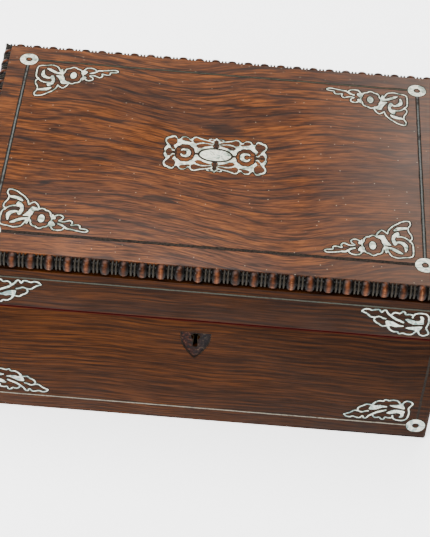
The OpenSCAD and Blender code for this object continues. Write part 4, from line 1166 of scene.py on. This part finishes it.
def pad(origin, u, v, size, puff, base=PAD_BASE, cells=(20, 14), seed=0, quilt=0):
    """Verts and faces of a thin stuffed panel of the given size along u and v.

    It swells by puff along their cross product. quilt is the pitch of stitched diagonal lines.
    """
    draw = random.Random(seed)
    u, v = Vector(u), Vector(v)
    out = u.cross(v)
    nu, nv = cells
    waves = [(draw.uniform(20, 70), draw.uniform(20, 70), draw.uniform(0, 6)) for _ in range(3)]
    front, back = [], []
    for j in range(nv + 1):
        for i in range(nu + 1):
            s, t = i / nu, j / nv
            # Flat across the middle, soft at the rim, with slow uneven waves
            pull = 1 - 0.35 * (abs(2 * s - 1) ** 8 + abs(2 * t - 1) ** 8) / 2
            rise = (1 - abs(2 * s - 1) ** 7) * (1 - abs(2 * t - 1) ** 7)
            x, y = s * size[0], t * size[1]
            ripple = sum(math.sin(x / a + y / b + c) for a, b, c in waves) / 3
            height = base + puff * rise * (0.88 + 0.12 * ripple)
            if quilt:
                lines = min(abs(math.sin(math.pi * (x / quilt + y / quilt) / 2)),
                            abs(math.sin(math.pi * (x / quilt - y / quilt) / 2)))
                height = base + puff * rise * (0.25 + 0.75 * min(1, lines ** 0.5 * 1.1))
            point = Vector(origin) + u * x + v * y
            front.append(point + out * height * pull)
            back.append(point)
    width = nu + 1
    count = len(front)
    faces = []
    for j in range(nv):
        for i in range(nu):
            a = j * width + i
            faces.append((a, a + 1, a + width + 1, a + width))
            faces.append((count + a, count + a + width, count + a + width + 1, count + a + 1))
    rim = ([i for i in range(nu)] + [j * width + nu for j in range(nv)]
           + [nv * width + i for i in range(nu, 0, -1)] + [j * width for j in range(nv, 0, -1)])
    for a, b in zip(rim, rim[1:] + rim[:1]):
        faces.append((a, count + a, count + b, b))
    return front + back, faces


def join_parts(parts):
    verts, faces = [], []
    for some_verts, some_faces in parts:
        base = len(verts)
        verts += some_verts
        faces += [tuple(base + i for i in f) for f in some_faces]
    return verts, faces


def tray_pads(x0, x1, y0, y1, z0, z1, seed, gap=None):
    """The floor and wall pads of one tray. gap is (x0, x1, z) of the lock plate, which they leave clear."""
    w, d, h = x1 - x0, y1 - y0, z1 - z0
    parts = [pad((x0, y0, z0), (1, 0, 0), (0, 1, 0), (w, d), FLOOR_PUFF, seed=seed)]
    # Each wall: a lower corner, the way it runs, length, height, and 1 or -1 for the side it swells to
    walls = [((x0, y1, z0), (0, -1, 0), d, h, -1),
             ((x1, y0, z0), (0, 1, 0), d, h, -1),
             ((x0, y1, z0), (1, 0, 0), w, h, 1)]
    if gap:
        left, right, top = gap
        walls += [((x1, y0, z0), (-1, 0, 0), w, top - z0, 1),
                  ((left, y0, top), (-1, 0, 0), left - x0, z1 - top, 1),
                  ((x1, y0, top), (-1, 0, 0), x1 - right, z1 - top, 1)]
    else:
        walls.append(((x1, y0, z0), (-1, 0, 0), w, h, 1))
    for k, (corner, run, length, height, way) in enumerate(walls, 1):
        parts.append(pad(corner, run, (0, 0, 1), (length, height), way * WALL_PUFF,
                         base=way * PAD_BASE, seed=seed + k))
    return parts


def linings():
    """Velvet in the two trays, and a quilted panel under the lid."""
    low, high = box_mm("tray_lining")
    divider_low, divider_high = box_mm("tray_divider")
    lock_low, lock_high = box_mm("lock_case")
    lock_gap = 0.5
    small = tray_pads(low.x, divider_low.x, low.y, high.y, low.z, high.z, 3)
    large = tray_pads(divider_high.x, high.x, low.y, high.y, low.z, high.z, 23,
                      gap=(lock_low.x - lock_gap, lock_high.x + lock_gap, lock_low.z - lock_gap))
    trays = from_parts("tray_pads", *join_parts(small + large), VELVET, 60)
    attach(trays, "case", "velvet", "tray_lining")
    low, high = box_mm("lid_lining")
    quilted = pad((low.x, high.y, high.z), (1, 0, 0), (0, -1, 0), (high.x - low.x, high.y - low.y), 2.6,
                  base=0.4, cells=(120, 84), seed=51, quilt=24)
    lining = from_parts("lid_pad", *quilted, VELVET, 60)
    attach(lining, "lid", "velvet", "lid_lining")


# ---------- inside woodwork ----------

def partitions():
    """The three upright boards inside, one with a hole for the winding arbor."""
    for node in ("long_partition", "tray_divider", "key_partition"):
        low, high = box_mm(node)
        obj = block(node + "_board", low, high, INNER, 0.8)
        if node == "key_partition":
            arbor_low, arbor_high = box_mm("winding_arbor")
            middle = (arbor_low + arbor_high) / 2
            hole_r = 4
            ring = [(middle.y + hole_r * math.cos(a), middle.z + hole_r * math.sin(a))
                    for a in (2 * math.pi * k / 24 for k in range(24))]
            rings = [[(x, y, z) for y, z in ring] for x in (low.x - CLEAR, high.x + CLEAR)]
            cut(obj, loft("cutter", rings, GLUE))
        attach(obj, "case", "inner_wood", node)


# ---------- tune pins ----------

def tune_pins():
    """The pins of a made-up tune: a ring of them for each tooth of the comb, scattered round."""
    draw = random.Random(1835)
    comb_low, comb_high = box_mm("comb")
    low, high = box_mm("cylinder")
    axis_y = (low.y + high.y) / 2
    axis_z = (low.z + high.z) / 2
    radius = (high.z - low.z) / 2
    teeth = 44
    pitch = (comb_high.x - comb_low.x) / teeth
    verts, faces = [], []
    sides = 5
    notes = 20            # drawn for each tooth
    least_gap = 0.09      # radians between one pin and the next
    for tooth in range(teeth):
        x = comb_low.x + (tooth + 0.5) * pitch
        angles = sorted(draw.uniform(0, 2 * math.pi) for _ in range(notes))
        kept = [a for a, b in zip(angles, angles[1:]) if b - a > least_gap]
        for a in kept:
            out = Vector((0, math.cos(a), math.sin(a)))
            side = Vector((0, -math.sin(a), math.cos(a)))
            base = len(verts)
            # Distance from the axis and radius, from the root to the blunt tip
            for reach, r in ((radius - 0.5, 0.24), (radius + 0.85, 0.22), (radius + 0.97, 0.13)):
                centre = Vector((x, axis_y, axis_z)) + out * reach
                for k in range(sides):
                    b = 2 * math.pi * k / sides
                    verts.append(centre + r * (math.cos(b) * Vector((1, 0, 0)) + math.sin(b) * side))
            for level in range(2):
                for k in range(sides):
                    i = base + level * sides + k
                    j = base + level * sides + (k + 1) % sides
                    faces.append((i, j, j + sides, i + sides))
            faces.append(tuple(base + 2 * sides + k for k in range(sides)))
            faces.append(tuple(base + k for k in reversed(range(sides))))
    pins = from_parts("tune_pins", verts, faces, STEEL, 40)
    attach(pins, "cylinder", "steel", "cylinder_pins")


# ---------- materials of the CAD pieces that stay ----------

CAD_LOOKS = {
    INNER: ("case_floor",),
    BRASS_DARKENED: ("lock_case",),
    BRASS: ("hinge_case_leaves", "hinge_lid_leaves", "link_plate", "case_screws", "lid_screws",
            "winding_key", "bedplate", "barrel_brackets", "cylinder_brackets", "comb_base", "governor_frame"),
    BRASS_BRIGHT: ("spring_barrel", "barrel_cover", "cylinder", "cylinder_wheel", "governor_wheel", "fan",
                   "start_lever"),
    BLUED: ("movement_screws", "mainspring", "click_spring"),
    STEEL: ("lock_bolt", "hinge_pins", "comb", "lever_post", "winding_arbor", "ratchet_wheel", "click",
            "cylinder_arbor", "endless_screw"),
}


def dress_cad():
    """Gives the CAD pieces that stay their materials."""
    for material, nodes in CAD_LOOKS.items():
        for node in nodes:
            slots = NODES[node].data.materials
            if not slots:
                slots.append(material)
            for i in range(len(slots)):
                slots[i] = material


# ---------- stage ----------

def area_light(name, place, aim, size, power, colour=(1, 1, 1)):
    """A rectangular light at place, in metres, that faces aim."""
    data = bpy.data.lights.new(name, "AREA")
    data.shape = "RECTANGLE"
    data.size, data.size_y = size
    data.energy = power
    data.color = colour
    obj = bpy.data.objects.new(name, data)
    obj.location = place
    obj.rotation_euler = (Vector(aim) - Vector(place)).to_track_quat("-Z", "Y").to_euler()
    bpy.context.scene.collection.objects.link(obj)


def stage():
    """A pale floor, a large soft light above, two smaller ones, and a world that is bright low down."""
    half = 6
    mesh = bpy.data.meshes.new("floor")
    corners = [(-half, -half, 0), (half, -half, 0), (half, half, 0), (-half, half, 0)]
    mesh.from_pydata(corners, [], [(0, 1, 2, 3)])
    floor = make_object("floor", mesh, floor_paper())
    centre = (0, 0, 0.07)
    area_light("top_softbox", (-0.25, 0.1, 1.5), centre, (1.3, 1.0), 60)
    area_light("front_softbox", (-0.95, -1.2, 1.1), centre, (0.5, 0.5), 28)
    area_light("right_window", (0.85, 1.2, 1.1), centre, (0.7, 0.7), 12, (0.93, 0.96, 1.0))
    world = bpy.data.worlds.new("studio")
    bpy.context.scene.world = world
    world.use_nodes = True
    tree = world.node_tree
    sky = tree.nodes["Background"]
    sky.inputs["Strength"].default_value = 1.0
    near_horizon, overhead = 2.2, 0.4
    place = tree.nodes.new("ShaderNodeTexCoord")
    axes = tree.nodes.new("ShaderNodeSeparateXYZ")
    ramp = tree.nodes.new("ShaderNodeValToRGB")
    tree.links.new(place.outputs["Generated"], axes.inputs[0])
    tree.links.new(axes.outputs[2], ramp.inputs[0])
    tree.links.new(ramp.outputs[0], sky.inputs["Color"])
    marks = ramp.color_ramp.elements
    marks[0].position = 0.1
    marks[0].color = (near_horizon, near_horizon, near_horizon, 1)
    marks[1].position = 0.5
    marks[1].color = (overhead, overhead, overhead + 0.01, 1)


def camera():
    """Looks straight at the front from 45 degrees up, rolled a little as the picture is."""
    data = bpy.data.cameras.new("camera")
    place_mm = (5.2, -788.3, 815.8)
    data.sensor_width = 36
    data.lens = 109.5
    data.clip_start = 0.05
    obj = bpy.data.objects.new("camera", data)
    pitch = math.radians(45.28)
    roll = math.radians(4.66)
    turn = Euler((pitch, 0, 0)).to_matrix() @ Matrix.Rotation(roll, 3, "Z")
    obj.location = Vector(place_mm) * MM
    obj.rotation_euler = turn.to_euler()
    bpy.context.scene.collection.objects.link(obj)
    bpy.context.scene.camera = obj


camera()
case_boards()
lid_boards()
lid_panel()
mouldings()
pearl_inlays()
stringing()
escutcheon()
linings()
partitions()
tune_pins()
dress_cad()
stage()
